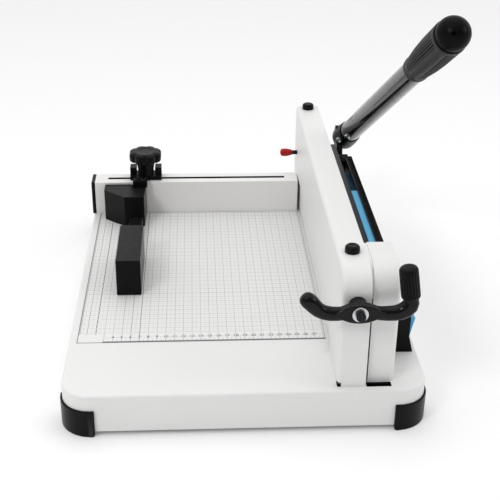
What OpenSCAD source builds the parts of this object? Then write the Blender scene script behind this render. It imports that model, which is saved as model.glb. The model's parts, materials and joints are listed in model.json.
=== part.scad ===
// Stack paper cutter: a knife drawn down by a rear-hung lever, a clamp raised by a crank,
// and a side guide that slides along a rear fence, all on a low white base.
// Front is -Y, the cut runs along Y and the knife side is +X.

/* [Base] */
// Width of the base
base_w = 390; // [380:1:420]
// Depth of the base
base_d = 520; // [515:1:560]
// Height of the table above the desk
table_h = 50; // [47:1:60]
// Gap between the base shell and the desk
shell_gap = 6; // [5:0.5:8]
// Wall of the base shell
base_wall = 3; // [2.5:0.5:4]
// Corner radius of the base in plan
base_r = 32; // [28:1:40]
// Radius of the fold round the table's edge
fold_r = 3; // [3:0.5:7]
// Thickness of the bottom plate
bottom_t = 1.5; // [1:0.5:2.5]

/* [Feet] */
// Length of a corner foot along each side
foot_leg = 36; // [34:1:50]
// Height of a corner foot
foot_h = 32; // [26:1:38]
// How far a foot stands proud of the shell
foot_proud = 2.5; // [1.5:0.5:4]
// Distance of a foot's screw from the base's sides
foot_screw_in = 22; // [20:1:26]
// Diameter of a foot's screw
foot_screw_d = 4; // [3:0.5:5]

/* [Table] */
// Thickness of the printed table sheet
sheet_t = 0.5; // [0.3:0.1:1]
// Margin of the sheet from the base's left side
sheet_left = 9; // [6:1:20]
// Margin of the sheet from the base's front
sheet_front = 104; // [90:1:120]
// Width of the cutting stick
stick_w = 10; // [8:1:12]
// Depth of the cutting stick
stick_t = 10; // [8:1:12]
// Depth of the groove that the knife has worn in the stick
stick_groove = 1.2; // [1:0.1:2]

/* [Fence] */
// Distance of the fence's front face from the base's front
fence_front = 448.3; // [430:0.1:452]
// Depth of the fence
fence_d = 31; // [28:1:36]
// Height of the fence above the table
fence_h = 47.5; // [44:0.5:52]
// Wall of the fence
fence_wall = 2.5; // [2:0.5:3]
// Gap between the fence and the tower
fence_tower_gap = 1.5; // [1:0.5:5]
// Thickness of the fence's end cap
cap_t = 5; // [4:0.5:7]
// Width of the slot in the fence's top
slot_w = 6.4; // [6.3:0.1:7.5]
// Distance of the slot's ends from the fence's ends
slot_end = 18; // [14:1:24]
// Distance of the fence's screws from its ends
fence_screw_in = 40; // [35:1:50]

/* [Tower] */
// Distance of the tower's left face from the base's left side
tower_left = 291.5; // [280:0.5:296]
// Width of the clamp housing
clamp_w = 30.5; // [28:0.5:32]
// Width of the knife post
post_w = 30.2; // [26:0.2:34]
// Gap between the housing and the knife post
post_gap = 1.2; // [0.4:0.1:1.6]
// Length of the tower
tower_len = 510; // [505:1:511]
// Distance of the tower from the base's front
tower_front = 9; // [8:1:12]
// Height of the tower above the table
tower_h = 136; // [134:1:150]
// Wall of the housing and of the knife post
tower_wall = 2; // [1.5:0.5:2]
// Radius of the tower's front shoulder
shoulder_r = 28; // [20:1:32]
// Radius of the tower's rear shoulder
rear_r = 5; // [4:1:20]
// Length of the housing's front post
front_post = 66; // [60:1:70]
// Length of the housing's rear post
rear_post = 54; // [50:1:56]
// Height of the housing's window above the table
window_h = 47; // [44:1:50]
// Set-back of the knife post from the housing's front
post_back = 8; // [3:0.5:9]
// Diameter of a plug on the housing's top
plug_d = 16; // [14:0.5:20]
// Height of a plug
plug_h = 8; // [5:0.5:9]
// Distance of the front plug from the tower's front
plug_front = 47.5; // [46:0.5:56]
// Distance of the rear plug from the tower's rear
plug_rear = 17; // [15:1:24]
// Diameter of the screws that hold the tower and the fence
tower_screw_d = 6; // [5:0.5:6]

/* [Knife] */
// Gap between the housing and the knife
knife_gap = 0.4; // [0.3:0.1:0.8]
// Thickness of the knife bar
bar_t = 6.4; // [6:0.1:6.8]
// Thickness of the blade
blade_t = 3.5; // [3:0.1:3.8]
// Height of the blade
blade_h = 24.6; // [20:0.2:25]
// Height of the blade's bevel
bevel_h = 8; // [6:0.5:10]
// Knife travel downwards
knife_drop = 44; // [40:0.5:45]
// Knife travel to the rear
knife_draw = 25; // [20:0.5:26]
// Depth of the edge below the table at the end of the cut
edge_sink = 0.6; // [0.4:0.1:0.9]
// Height of the knife bar's top below the tower's top
bar_low = 3; // [2:0.5:9]
// Length of the blade
blade_len = 371; // [365:1:372]
// Diameter of a guide stud
stud_d = 10; // [8:0.5:10]
// Distance of the front stud from the knife's front end
stud_front = 71; // [66:1:75]
// Distance between the two studs
stud_pitch = 140; // [130:1:145]
// Clearance of the slots round their studs and roller
slot_clear = 0.5; // [0.4:0.05:0.6]

/* [Guide plate] */
// Gap between the housing and the guide plate
plate_gap = 14.3; // [14:0.1:16]
// Thickness of the guide plate
plate_t = 8.7; // [7:0.1:8.8]
// Length of the guide plate
plate_len = 259.5; // [250:0.5:260]
// Height of the guide plate
plate_h = 64; // [60:1:64]
// Gap between the knife bar and the slide liner
liner_gap = 0.8; // [0.5:0.1:1.5]
// Fall of the slide liner's top from front to rear
liner_fall = 26; // [20:1:30]
// Clearance of the guide plate round the rocker's swing
rocker_clear = 2.5; // [1.5:0.5:3]

/* [Lever] */
// Distance of the lever's pivot from the tower's rear
pivot_rear = 109; // [108:0.5:110]
// Height of the lever's pivot above the table
pivot_h = 92; // [91:0.5:93]
// Lever travel
lever_swing = 44; // [40:1:45]
// Diameter of the pivot bolt
pivot_d = 12; // [10:0.5:14]
// Thickness of the rocker
rocker_t = 8; // [7:0.5:8.5]
// Diameter of the rocker's roller
roller_d = 12; // [10:0.5:12]
// Diameter of the handle tube
tube_d = 28; // [25:0.5:29]
// Wall of the handle tube
tube_wall = 2.5; // [2:0.5:4]
// Wall of the socket round the tube
socket_wall = 2.5; // [2.5:0.5:3.5]
// Length of the socket
socket_len = 32; // [28:1:50]
// Length of the handle from above the pivot to the middle of its round end
handle_len = 345; // [320:1:360]
// Rise of the handle
handle_rise = 37.5; // [36:0.1:40]
// Outward lean of the handle
handle_lean = 9.5; // [9:0.1:12]
// Height of the handle's axis above the pivot
handle_offset = 43.6; // [36:0.1:46]
// Distance of the handle's axis from the housing at the pivot
handle_side = 31; // [31:0.5:36]
// Length of the handle's grip
grip_len = 104; // [90:1:120]
// Diameter of the handle's grip
grip_d = 39; // [35:0.5:42]
// Radius of the grip's round end
grip_dome = 18.75; // [16:0.25:19.25]

/* [Crank] */
// Height of the crank's axis above the table
crank_h = 100; // [99:0.5:101]
// Distance of the crank's axis from the housing's right side
crank_side = 14.5; // [14.3:0.1:14.8]
// Diameter of the crank shaft
shaft_d = 9; // [8:0.1:9]
// Diameter of the bushes that carry the shaft
bush_d = 19.4; // [15:0.2:19.6]
// Distance of the crank lever's middle from the housing
crank_out = 12.5; // [12.5:0.5:18]
// Thickness of the crank lever's arms
crank_arm_d = 13; // [10:0.5:13]
// Diameter of the crank lever's hub
crank_hub_d = 20; // [18:0.5:28]
// Diameter of the crank's grip
crank_grip_d = 20; // [16:0.5:20]
// Length of the crank's grip
crank_grip_len = 36; // [30:1:42]
// Module of the pinion and rack
gear_module = 1.25; // [1.2:0.01:1.25]
// Teeth on the pinion
pinion_teeth = 12; // [12:1:12]
// Width of the pinion and rack
gear_w = 10; // [8:0.5:10]

/* [Clamp] */
// Clamp travel upwards from rest
clamp_lift = 24.5; // [20:0.5:24.5]
// Gap under the clamp at rest
clamp_gap = 6; // [5.5:0.1:6.5]
// Gap under the clamp when it is right down
clamp_low_gap = 0.8; // [0.6:0.1:1.5]
// Height of the clamp's foot
clamp_foot_h = 53; // [50:0.5:54]
// Gap between the clamp and the housing's walls
clamp_fit = 0.4; // [0.3:0.1:0.6]
// Thickness of the clamp's web
web_t = 5.8; // [5:0.1:6]
// Height of the clamp's web above the clamp's sole
web_h = 38; // [36:0.5:39]

/* [Side guide] */
// Distance of the guide's stud from the base's left side
guide_x = 75; // [70:1:90]
// Width of the guide block at the fence
guide_w = 57.5; // [54:0.5:64]
// Depth of the guide block
guide_d = 44.5; // [36:0.5:46]
// Height of the guide block
guide_h = 44; // [40:0.5:47]
// Width of the stop at the guide's front
stop_w = 30; // [24:1:32]
// Length of the stop
stop_len = 100; // [80:1:110]
// Height of the stop
stop_h = 47; // [40:0.5:50]
// Gap between the guide block and the stop
stop_reach = 93.5; // [80:0.5:110]
// Width of the bar between block and stop
guide_bar_w = 18; // [10:1:20]
// Height of the bar between block and stop
guide_bar_h = 9.6; // [8:0.2:12]
// Gap under and behind the guide
guide_fit = 0.4; // [0.3:0.1:0.8]
// Diameter of the guide's stud
guide_stud_d = 6; // [5:0.1:6]
// Diameter of the guide's knob
knob_d = 46.5; // [38:0.5:48]
// Height of the knob's head
knob_h = 14; // [10:0.5:16]
// Height of the knob's neck
knob_neck_h = 21; // [14:0.5:22]
// Lobes on the knob
knob_lobes = 8; // [6:1:10]

/* [Lock pin] */
// Distance of the lock pin from the tower's rear
pin_rear = 33; // [32:0.5:34]
// Height of the lock pin above the table
pin_h = 76; // [75.5:0.5:76.5]
// Diameter of the lock pin
pin_d = 6; // [5:0.5:6]
// Travel of the lock pin
pin_travel = 7; // [6:0.5:7]
// Length of the lock pin's knob
pin_knob_len = 17; // [14:0.5:20]
// Diameter of the lock pin's knob
pin_knob_d = 11; // [9:0.5:12]

/* [Hidden] */
$fn = 48;
eps = 0.01;
run_fit = 0.05;
seat_fit = 0.1;

// Colours
white_paint = "#E8E8E6";
pale_grey = "#D2D2D0";
black_plastic = "#1B1B1C";
gloss_black = "#101011";
rubber_black = "#2E2E30";
zinc = "#B9BCC0";
steel = "#A9ADB1";
blue_plastic = "#4FA3C9";
red_plastic = "#B0121A";
stick_ivory = "#E4DFC8";

// Planes of the base
x_left = -base_w / 2;
x_right = base_w / 2;
y_front = -base_d / 2;
y_rear = base_d / 2;
shell_top_in = table_h - base_wall;

// Planes of the tower
x_tower = x_left + tower_left;
x_cut = x_tower + clamp_w;
x_post = x_cut + post_gap;
x_post_end = x_post + post_w;
x_clamp_mid = x_tower + clamp_w / 2;
y_tower = y_front + tower_front;
y_tower_end = y_tower + tower_len;
z_top = table_h + tower_h;
y_window = y_tower + front_post;
y_window_end = y_tower_end - rear_post;
z_window = table_h + window_h;
y_post = y_tower + post_back;
y_post_end = y_window + 3.5;
bracket_gap = 0.3;
x_bracket = x_post_end + bracket_gap;
bracket_w = 26;
x_bracket_end = x_bracket + bracket_w;
y_bracket = y_post_end - 4.5;
bracket_t = 8;
bracket_h = 45;
bracket_toe = 5;
buffer_w = 5;
notch_w = 4.4;
notch_d = 6;
notch_h = 5;
tower_boss_h = 8;
tower_boss_len = 22;
tower_screws_at = [
    [x_clamp_mid, y_tower + tower_wall + tower_boss_len / 2],
    [x_clamp_mid, y_tower_end - tower_wall - tower_boss_len / 2],
    [x_post + post_w / 2, y_post + tower_wall + tower_boss_len / 2],
    [x_bracket + bracket_w / 2, y_bracket + bracket_t + tower_boss_len / 2]
];
front_plug = [x_clamp_mid, y_tower + plug_front];
rear_plug = [x_clamp_mid, y_tower_end - plug_rear];
plug_stem_d = plug_d - 6.5;
plug_stem_h = 4;

// Planes of the fence
y_fence = y_front + fence_front;
y_fence_end = y_fence + fence_d;
y_slot = y_fence + fence_d / 2;
x_fence = x_left - 1.5 + cap_t;
x_fence_end = x_tower - fence_tower_gap;
z_fence = table_h + fence_h;
fence_screws_at = [x_fence + fence_screw_in, x_fence_end - fence_screw_in];
fence_screw_d = tower_screw_d - 1;

// Knife planes at rest
x_bar = x_cut + knife_gap;
x_bar_end = x_bar + bar_t;
x_blade_end = x_bar + blade_t;
z_edge = table_h - edge_sink + knife_drop;
z_blade_top = z_edge + blade_h;
z_bar = z_edge + bevel_h;
z_bar_top = z_top - bar_low;
y_bar = y_post_end + 0.6;
y_bar_end = y_bar + blade_len;
stud_slot_d = stud_d + 2 * slot_clear;
z_stud = z_bar_top - knife_drop - stud_d / 2 - slot_clear - 4.5;
studs_at = [y_bar + stud_front, y_bar + stud_front + stud_pitch];
z_bar_low_top = z_blade_top;
blade_screws_n = 6;
blade_screw_d = 5;
blade_screw_head = 1.6;
z_blade_screw = z_bar + 5;

// Stick under the knife
x_stick = x_bar + blade_t / 2 - stick_w / 2;
y_stick = y_bar + knife_draw - 12;
y_stick_end = y_bar_end + knife_draw + 3;
trough_wall = 3;

// Guide plate and liner planes
x_plate = x_cut + plate_gap;
x_plate_end = x_plate + plate_t;
z_plate_top = z_bar_top;
z_plate = z_plate_top - plate_h;
y_plate_end = y_post_end + plate_len;
x_liner = x_bar_end + liner_gap;
z_liner_top = z_plate_top - 2;

// Lever pivot, roller and handle axis
y_pivot = y_tower_end - pivot_rear;
z_pivot = table_h + pivot_h;
rocker_r = knife_drop / 2 / sin(lever_swing / 2);
y_roller = y_pivot - rocker_r * cos(lever_swing / 2);
z_roller = z_pivot + knife_drop / 2;
x_rocker = x_plate - 0.3;
x_rocker_end = x_rocker + rocker_t;
rocker_hub_d = pivot_d + 18;
rocker_arm_d = roller_d + 8;
rocker_sweep = rocker_r + rocker_arm_d / 2 + rocker_clear;
tail_d = 14;
tail_at = [y_tower_end - pin_rear + 2, table_h + pin_h - pin_d / 2 - 9];
block_half = 14.5;
block_low = 21;
block_high = 13;
x_block_end = x_rocker - 1;
handle_dir = [
    sin(handle_lean),
    -cos(handle_lean) * cos(handle_rise),
    cos(handle_lean) * sin(handle_rise)
];
handle_from = [x_cut + handle_side, y_pivot - 2.5, z_pivot + handle_offset];
handle_tip = handle_from + handle_len * handle_dir;
socket_d = tube_d + 2 * socket_wall;
socket_low = 24;
socket_floor = 6;
tube_low = socket_low - socket_floor;
socket_mid = handle_from - 12 * handle_dir;
socket_screw_d = 4;
socket_screw_in = 4.2;
socket_screws_at = [[-6, -62, socket_d / 2 - 1], [17, -45, tube_d / 2 - 0.7]];
grip_collar = 7;
grip_vent_d = 4;
grip_vent_turn = -53;
grip_vent_lean = 30;

// Crank
crank_axis = [x_cut - crank_side, table_h + crank_h];
y_crank = y_tower - crank_out;
crank_hub_t = crank_arm_d;
y_hub_front = y_crank - crank_hub_t / 2;
y_bush_front = y_crank + crank_hub_t / 2 + 0.3;
washer_t = 1.5;
washer_d = 16.5;
crank_bolt_head_h = 6;
crank_bolt_head_d = 10;
crank_bolt_d = 5;
y_crank_front = y_hub_front - washer_t - crank_bolt_head_h;
crank_tip_d = crank_arm_d + 3.5;
left_arm = [[-20.5, -3, crank_arm_d], [-38, -1.5, crank_arm_d], [-50, 12, crank_tip_d]];
right_arm = [[22, -3, crank_arm_d], [42, -2, crank_arm_d], [51.5, 5, crank_tip_d]];
crank_neck_d = 8;
crank_grip_from = [51, 14.5];
crank_grip_lean = -9;
bush_flange = 2;
y_flange = y_tower + tower_wall + 0.5;
bush_flange_t = 3;
rear_bush_len = 8;
pitch_r = gear_module * pinion_teeth / 2;
base_circle_r = pitch_r * cos(20);
gear_tip = 0.8 * gear_module;
gear_root = 1.15 * gear_module;
gear_play = 0.12;
tooth_pitch = PI * gear_module;
y_front_gear = y_tower + 37;
y_rear_gear = y_tower_end - 21;

// Clamp planes at rest
x_press = x_tower + tower_wall + clamp_fit;
x_press_end = x_cut - tower_wall - clamp_fit;
y_press = y_window + 0.5;
y_press_end = y_window_end - 0.5;
z_press = table_h + clamp_gap;
z_web = z_press + 15;
z_web_top = z_press + web_h;
z_rack = z_press + 11;
clamp_lower = clamp_gap - clamp_low_gap;
z_rack_top = crank_axis[1] + clamp_lower + 2.5;

// Side guide planes at rest
x_guide = x_left + guide_x;
guide_left = 57;
z_guide = table_h + sheet_t + guide_fit;
z_guide_top = z_guide + guide_h;
y_guide_end = y_fence - guide_fit;
y_guide = y_guide_end - guide_d;
x_guide_left = x_guide - guide_left;
x_guide_right = x_guide_left + guide_w;
guide_nose = 28;
guide_facet = 20;
ledge_out = 3;
z_ledge = z_guide + 13.5;
z_ledge_top = z_guide + 25.5;
y_stop_end = y_guide - stop_reach;
y_stop = y_stop_end - stop_len;
x_stop_end = x_guide + 2.5;
x_stop = x_stop_end - stop_w;
x_guide_bar = x_stop + (stop_w - guide_bar_w) / 2;
z_guide_bar = z_guide + 5.3;
guide_bar_in = 18;
z_saddle = z_fence + guide_fit;
saddle_w = 44;
saddle_t = 6;
z_saddle_top = z_saddle + saddle_t;
lug_w = 9;
lug_h = 11;
guide_tee_w = 14;
guide_tee_t = 4;
guide_screws_at = [x_guide - 12.4, x_guide - 3.6];
guide_screw_d = 4;
z_knob = z_saddle_top + 0.3;
z_knob_head = z_knob + knob_neck_h;

// Lock pin
y_pin = y_tower_end - pin_rear;
z_pin = table_h + pin_h;
x_pin_knob_end = x_tower - pin_travel - 0.5;
x_pin_knob = x_pin_knob_end - pin_knob_len;
x_pin_end = x_rocker - 1;
pin_bush_d = pin_d + 6;
pin_bush_len = 10;

// The part's origin is the bottom centre of its box
x_low = x_left - foot_proud;
x_high = handle_tip[0] + grip_dome;
y_low = y_crank_front;
y_high = y_rear + foot_proud;
origin_shift = [-(x_low + x_high) / 2, -(y_low + y_high) / 2, 0];

// Box between two corners
module block(low, high) {
    translate(low) cube(high - low);
}

// Round bars along X, Y and Z
module rod_x(d, x0, x1, y, z) {
    translate([x0, y, z]) rotate([0, 90, 0]) cylinder(d = d, h = x1 - x0);
}

module rod_y(d, y0, y1, x, z) {
    translate([x, y1, z]) rotate([90, 0, 0]) cylinder(d = d, h = y1 - y0);
}

module rod_z(d, z0, z1, x, y) {
    translate([x, y, z0]) cylinder(d = d, h = z1 - z0);
}

// Outline drawn in Y and Z, extruded along X
module along_x(x0, x1) {
    translate([x0, 0, 0]) rotate([90, 0, 90]) linear_extrude(x1 - x0) children();
}

// Outline drawn in X and Z, extruded along Y
module along_y(y0, y1) {
    translate([0, y1, 0]) rotate([90, 0, 0]) linear_extrude(y1 - y0) children();
}

// Flat bar with round ends between two points
module capsule(p, q, d) {
    hull() {
        translate(p) circle(d = d, $fn = 32);
        translate(q) circle(d = d, $fn = 32);
    }
}

// Turn a shape on Z into the handle's direction
module on_handle(s) {
    lean = acos(handle_dir[2]);
    turn = atan2(handle_dir[1], handle_dir[0]);
    translate(handle_from + s * handle_dir) rotate([0, lean, turn]) children();
}

// Rounded box in plan, with an optional round along its top edge
module tray(w, d, z0, z1, r, top_r) {
    hull() {
        for (sx = [-1, 1], sy = [-1, 1]) {
            translate([sx * (w / 2 - r), sy * (d / 2 - r), z0]) {
                cylinder(r = r, h = z1 - z0 - top_r);
                if (top_r > 0) {
                    translate([0, 0, z1 - z0 - top_r]) rotate_extrude() {
                        translate([r - top_r, 0]) intersection() {
                            circle(r = top_r, $fn = 32);
                            square(top_r);
                        }
                        square([r - top_r, top_r]);
                    }
                }
            }
        }
    }
}

// Tower outline from the side, with its two round shoulders
module shoulders(y0, y1, z0, z1, r0, r1) {
    difference() {
        translate([y0, z0]) square([y1 - y0, z1 - z0]);
        translate([y0, z1 - r0]) difference() {
            translate([-1, 0]) square([r0 + 1, r0 + 1]);
            translate([r0, 0]) circle(r = r0);
        }
        translate([y1 - r1, z1 - r1]) difference() {
            square([r1 + 1, r1 + 1]);
            circle(r = r1);
        }
    }
}

// Screw standing on Z with its head below
module screw_up(x, y, z_head, z_end, d, head_d, head_h) {
    rod_z(head_d, z_head, z_head + head_h, x, y);
    rod_z(d, z_head + head_h - eps, z_end, x, y);
}

module base_shell() {
    color(white_paint) difference() {
        union() {
            difference() {
                tray(base_w, base_d, shell_gap, table_h, base_r, fold_r);
                tray(base_w - 2 * base_wall, base_d - 2 * base_wall, shell_gap - 1,
                     shell_top_in, base_r - base_wall, 0);
            }
            block([x_stick - trough_wall, y_stick - trough_wall, table_h - stick_t - trough_wall],
                  [x_stick + stick_w + trough_wall, y_stick_end + trough_wall, shell_top_in + eps]);
        }
        block([x_stick - seat_fit, y_stick - seat_fit, table_h - stick_t - seat_fit],
              [x_stick + stick_w + seat_fit, y_stick_end + seat_fit, table_h + 1]);
        block([x_post, y_tower - 0.5, shell_top_in - 1],
              [x_post_end - 3.5, y_post - 0.2, table_h + 1]);
        block([x_tower + 0.4, y_tower + 0.4, shell_top_in - 1],
              [x_tower + notch_w - 0.2, y_tower + notch_d - 0.2, table_h + 1]);
        for (p = tower_screws_at) {
            rod_z(tower_screw_d + 2 * seat_fit, shell_top_in - 1, table_h + 1, p[0], p[1]);
        }
        for (x = fence_screws_at) {
            rod_z(fence_screw_d + 2 * seat_fit, shell_top_in - 1, table_h + 1, x, y_slot);
            rod_z(2 * fence_screw_d + 1, shell_top_in - 5, shell_top_in - 2 * eps, x, y_slot);
        }
    }
}

module bottom_plate() {
    color(pale_grey) difference() {
        tray(base_w - 2 * base_wall - 0.6, base_d - 2 * base_wall - 0.6, shell_gap,
             shell_gap + bottom_t, base_r - base_wall - 0.3, 0);
        for (sx = [-1, 1], sy = [-1, 1]) {
            rod_z(foot_screw_d + 2 * seat_fit, shell_gap - 1, shell_gap + bottom_t + 1,
                  sx * (x_right - foot_screw_in), sy * (y_rear - foot_screw_in));
        }
    }
}

// Corner foot: a pad under the shell and a guard round its corner
module foot(sx, sy) {
    guard = foot_leg + foot_proud;
    color(black_plastic) difference() {
        intersection() {
            tray(base_w + 2 * foot_proud, base_d + 2 * foot_proud, 0, foot_h,
                 base_r + foot_proud, 0);
            translate([sx * (x_right + foot_proud - guard / 2),
                       sy * (y_rear + foot_proud - guard / 2), foot_h / 2])
                cube([guard, guard, foot_h + 2], center = true);
        }
        tray(base_w + 2 * seat_fit, base_d + 2 * seat_fit, shell_gap, foot_h + 1,
             base_r + seat_fit, 0);
        rod_z(foot_screw_d + 2 * seat_fit, -1, shell_gap + 1,
              sx * (x_right - foot_screw_in), sy * (y_rear - foot_screw_in));
        rod_z(2 * foot_screw_d + 1, -1, shell_gap / 2,
              sx * (x_right - foot_screw_in), sy * (y_rear - foot_screw_in));
    }
}

module foot_front_left() {
    foot(-1, -1);
}

module foot_front_right() {
    foot(1, -1);
}

module foot_rear_left() {
    foot(-1, 1);
}

module foot_rear_right() {
    foot(1, 1);
}

module foot_screws() {
    z_nut = shell_gap + bottom_t;
    color(zinc) for (sx = [-1, 1], sy = [-1, 1]) {
        x = sx * (x_right - foot_screw_in);
        y = sy * (y_rear - foot_screw_in);
        screw_up(x, y, shell_gap / 2 - 2.4, z_nut + 4, foot_screw_d, 2 * foot_screw_d, 2.4);
        rod_z(2 * foot_screw_d, z_nut, z_nut + 3, x, y);
    }
}

module table_sheet() {
    color(white_paint) block([x_left + sheet_left, y_front + sheet_front, table_h],
                             [x_tower - 0.5, y_fence - 0.4, table_h + sheet_t]);
}

module cutting_stick() {
    color(stick_ivory) difference() {
        block([x_stick, y_stick, table_h - stick_t], [x_stick + stick_w, y_stick_end, table_h]);
        block([x_bar - 0.5, y_stick - 1, table_h - stick_groove],
              [x_blade_end + 0.5, y_stick_end + 1, table_h + 1]);
    }
}

module fence() {
    color(pale_grey) difference() {
        block([x_fence, y_fence, table_h], [x_fence_end, y_fence_end, z_fence]);
        block([x_fence - 1, y_fence + fence_wall, table_h + fence_wall],
              [x_fence_end + 1, y_fence_end - fence_wall, z_fence - fence_wall]);
        block([x_fence + slot_end, y_slot - slot_w / 2, z_fence - fence_wall - 1],
              [x_fence_end - slot_end, y_slot + slot_w / 2, z_fence + 1]);
        for (x = fence_screws_at) {
            rod_z(fence_screw_d + 2 * seat_fit, table_h - 1, table_h + fence_wall + 1, x, y_slot);
        }
    }
}

module fence_cap() {
    plug = fence_wall + 0.2;
    color(black_plastic) union() {
        block([x_fence - cap_t, y_fence - 0.3, table_h + 0.2],
              [x_fence, y_fence_end + 0.3, z_fence + 0.3]);
        block([x_fence - eps, y_fence + plug, table_h + plug],
              [x_fence + 8, y_fence_end - plug, z_fence - plug]);
    }
}

module fence_screws() {
    z_nut = table_h + fence_wall;
    color(zinc) for (x = fence_screws_at) {
        screw_up(x, y_slot, shell_top_in - 3.5, z_nut + 5, fence_screw_d, 2 * fence_screw_d, 3.5);
        rod_z(2 * fence_screw_d, z_nut, z_nut + 4, x, y_slot);
    }
}

// Block inside a post that takes a screw from below
module tower_boss(x0, x1, p) {
    block([x0, p[1] - tower_boss_len / 2, table_h],
          [x1, p[1] + tower_boss_len / 2, table_h + tower_boss_h]);
}

module clamp_housing() {
    color(white_paint) difference() {
        union() {
            difference() {
                along_x(x_tower, x_cut)
                    shoulders(y_tower, y_tower_end, table_h, z_top, shoulder_r, rear_r);
                along_x(x_tower + tower_wall, x_cut - tower_wall)
                    shoulders(y_tower + tower_wall, y_tower_end - tower_wall, table_h - 1,
                              z_top - tower_wall, shoulder_r - tower_wall, rear_r - tower_wall);
                block([x_tower - 1, y_window, table_h - 1], [x_cut + 1, y_window_end, z_window]);
            }
            for (i = [0, 1]) {
                tower_boss(x_tower + 1, x_cut - 1, tower_screws_at[i]);
            }
        }
        for (i = [0, 1]) {
            rod_z(tower_screw_d + 2 * seat_fit, table_h - 1, table_h + tower_boss_h + 1,
                  tower_screws_at[i][0], tower_screws_at[i][1]);
        }
        for (p = [front_plug, rear_plug]) {
            rod_z(plug_stem_d + 2 * seat_fit, z_top - tower_wall - 1, z_top + 1, p[0], p[1]);
        }
        rod_y(bush_d + 2 * run_fit, y_tower - 1, y_tower + tower_wall + 1,
              crank_axis[0], crank_axis[1]);
        rod_x(pin_bush_d + 2 * run_fit, x_tower - 1, x_tower + tower_wall + 1, y_pin, z_pin);
        rod_x(pin_d + 0.6, x_cut - tower_wall - 1, x_cut + 1, y_pin, z_pin);
        block([x_tower - 1, y_tower - 1, table_h - 1],
              [x_tower + notch_w, y_tower + notch_d, table_h + notch_h]);
    }
}

module knife_post() {
    p = tower_screws_at[2];
    color(white_paint) difference() {
        union() {
            difference() {
                along_x(x_post, x_post_end)
                    shoulders(y_post, y_post_end, table_h, z_top, shoulder_r, 1);
                along_x(x_post + tower_wall, x_post_end - tower_wall)
                    shoulders(y_post + tower_wall, y_post_end - tower_wall, table_h - 1,
                              z_top - tower_wall, shoulder_r - tower_wall, 1);
            }
            tower_boss(x_post + 1, x_post_end - 1, p);
        }
        rod_z(tower_screw_d + 2 * seat_fit, table_h - 1, table_h + tower_boss_h + 1, p[0], p[1]);
    }
}

module housing_plugs() {
    edge = 1.2;
    color(black_plastic) for (p = [front_plug, rear_plug]) {
        translate([p[0], p[1], z_top]) rotate_extrude() {
            translate([0, -plug_stem_h]) square([plug_stem_d / 2, plug_stem_h + 1]);
            polygon([[0, 0], [plug_d / 2, 0], [plug_d / 2, plug_h - edge],
                     [plug_d / 2 - edge, plug_h], [0, plug_h]]);
        }
    }
}

module tower_screws() {
    head_h = 4;
    color(zinc) for (p = tower_screws_at) {
        screw_up(p[0], p[1], shell_top_in - head_h, table_h + tower_boss_h - 0.5,
                 tower_screw_d, 2 * tower_screw_d - 2, head_h);
    }
}

module pivot_block() {
    color(gloss_black) difference() {
        block([x_cut, y_pivot - block_half, z_pivot - block_low],
              [x_block_end, y_pivot + block_half, z_pivot + block_high]);
        rod_x(pivot_d + 2 * seat_fit, x_cut - 1, x_block_end + 1, y_pivot, z_pivot);
    }
}

module pivot_bolt() {
    head_d = pivot_d + 8;
    head_h = 5;
    color(zinc) union() {
        rod_x(pivot_d, x_cut + 0.2, x_rocker_end + 0.4, y_pivot, z_pivot);
        rod_x(head_d, x_rocker_end + 0.3, x_rocker_end + 0.3 + head_h, y_pivot, z_pivot);
    }
}

module guide_studs() {
    color(steel) for (y = studs_at) {
        rod_x(stud_d, x_cut, x_plate_end + 5, y, z_stud);
    }
}

module stud_nuts() {
    color(zinc) for (y = studs_at) {
        difference() {
            rod_x(stud_d + 8, x_plate_end, x_plate_end + 4.5, y, z_stud);
            rod_x(stud_d + 2 * seat_fit, x_plate_end - 1, x_plate_end + 6, y, z_stud);
        }
    }
}

module slide_liner() {
    color(blue_plastic) difference() {
        along_x(x_liner, x_plate) polygon([
            [y_post_end, z_plate], [y_plate_end, z_plate],
            [y_plate_end, z_liner_top - liner_fall], [y_post_end, z_liner_top]
        ]);
        for (y = studs_at) {
            rod_x(stud_d + 2 * seat_fit, x_liner - 1, x_plate + 1, y, z_stud);
        }
        rod_x(2 * rocker_sweep, x_liner - 1, x_plate + 1, y_pivot, z_pivot);
    }
}

module guide_plate() {
    chamfer = 10;
    color(gloss_black) difference() {
        along_x(x_plate, x_plate_end) polygon([
            [y_post_end, z_plate], [y_plate_end, z_plate], [y_plate_end, z_plate_top - chamfer],
            [y_plate_end - chamfer, z_plate_top], [y_post_end, z_plate_top]
        ]);
        for (y = studs_at) {
            rod_x(stud_d + 2 * seat_fit, x_plate - 1, x_plate_end + 1, y, z_stud);
        }
        rod_x(2 * rocker_sweep, x_plate - 1, x_plate_end + 1, y_pivot, z_pivot);
    }
}

module stop_bracket() {
    p = tower_screws_at[3];
    color(black_plastic) difference() {
        union() {
            along_y(y_bracket, y_bracket + bracket_t) polygon([
                [x_bracket, table_h], [x_bracket_end + bracket_toe, table_h],
                [x_bracket_end, table_h + 20], [x_bracket_end, table_h + bracket_h],
                [x_bracket, table_h + bracket_h]
            ]);
            block([x_bracket, y_bracket, table_h],
                  [x_bracket_end, y_bracket + bracket_t + tower_boss_len,
                   table_h + tower_boss_h]);
        }
        rod_z(tower_screw_d + 2 * seat_fit, table_h - 1, table_h + tower_boss_h + 1, p[0], p[1]);
    }
}

module stop_buffer() {
    low = table_h + 20;
    high = table_h + bracket_h;
    color(blue_plastic) along_y(y_bracket + 0.5, y_bracket + bracket_t - 0.5) polygon([
        [x_bracket_end, low], [x_bracket_end + buffer_w, high - 2],
        [x_bracket_end + buffer_w - 1, high], [x_bracket_end, high]
    ]);
}

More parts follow.
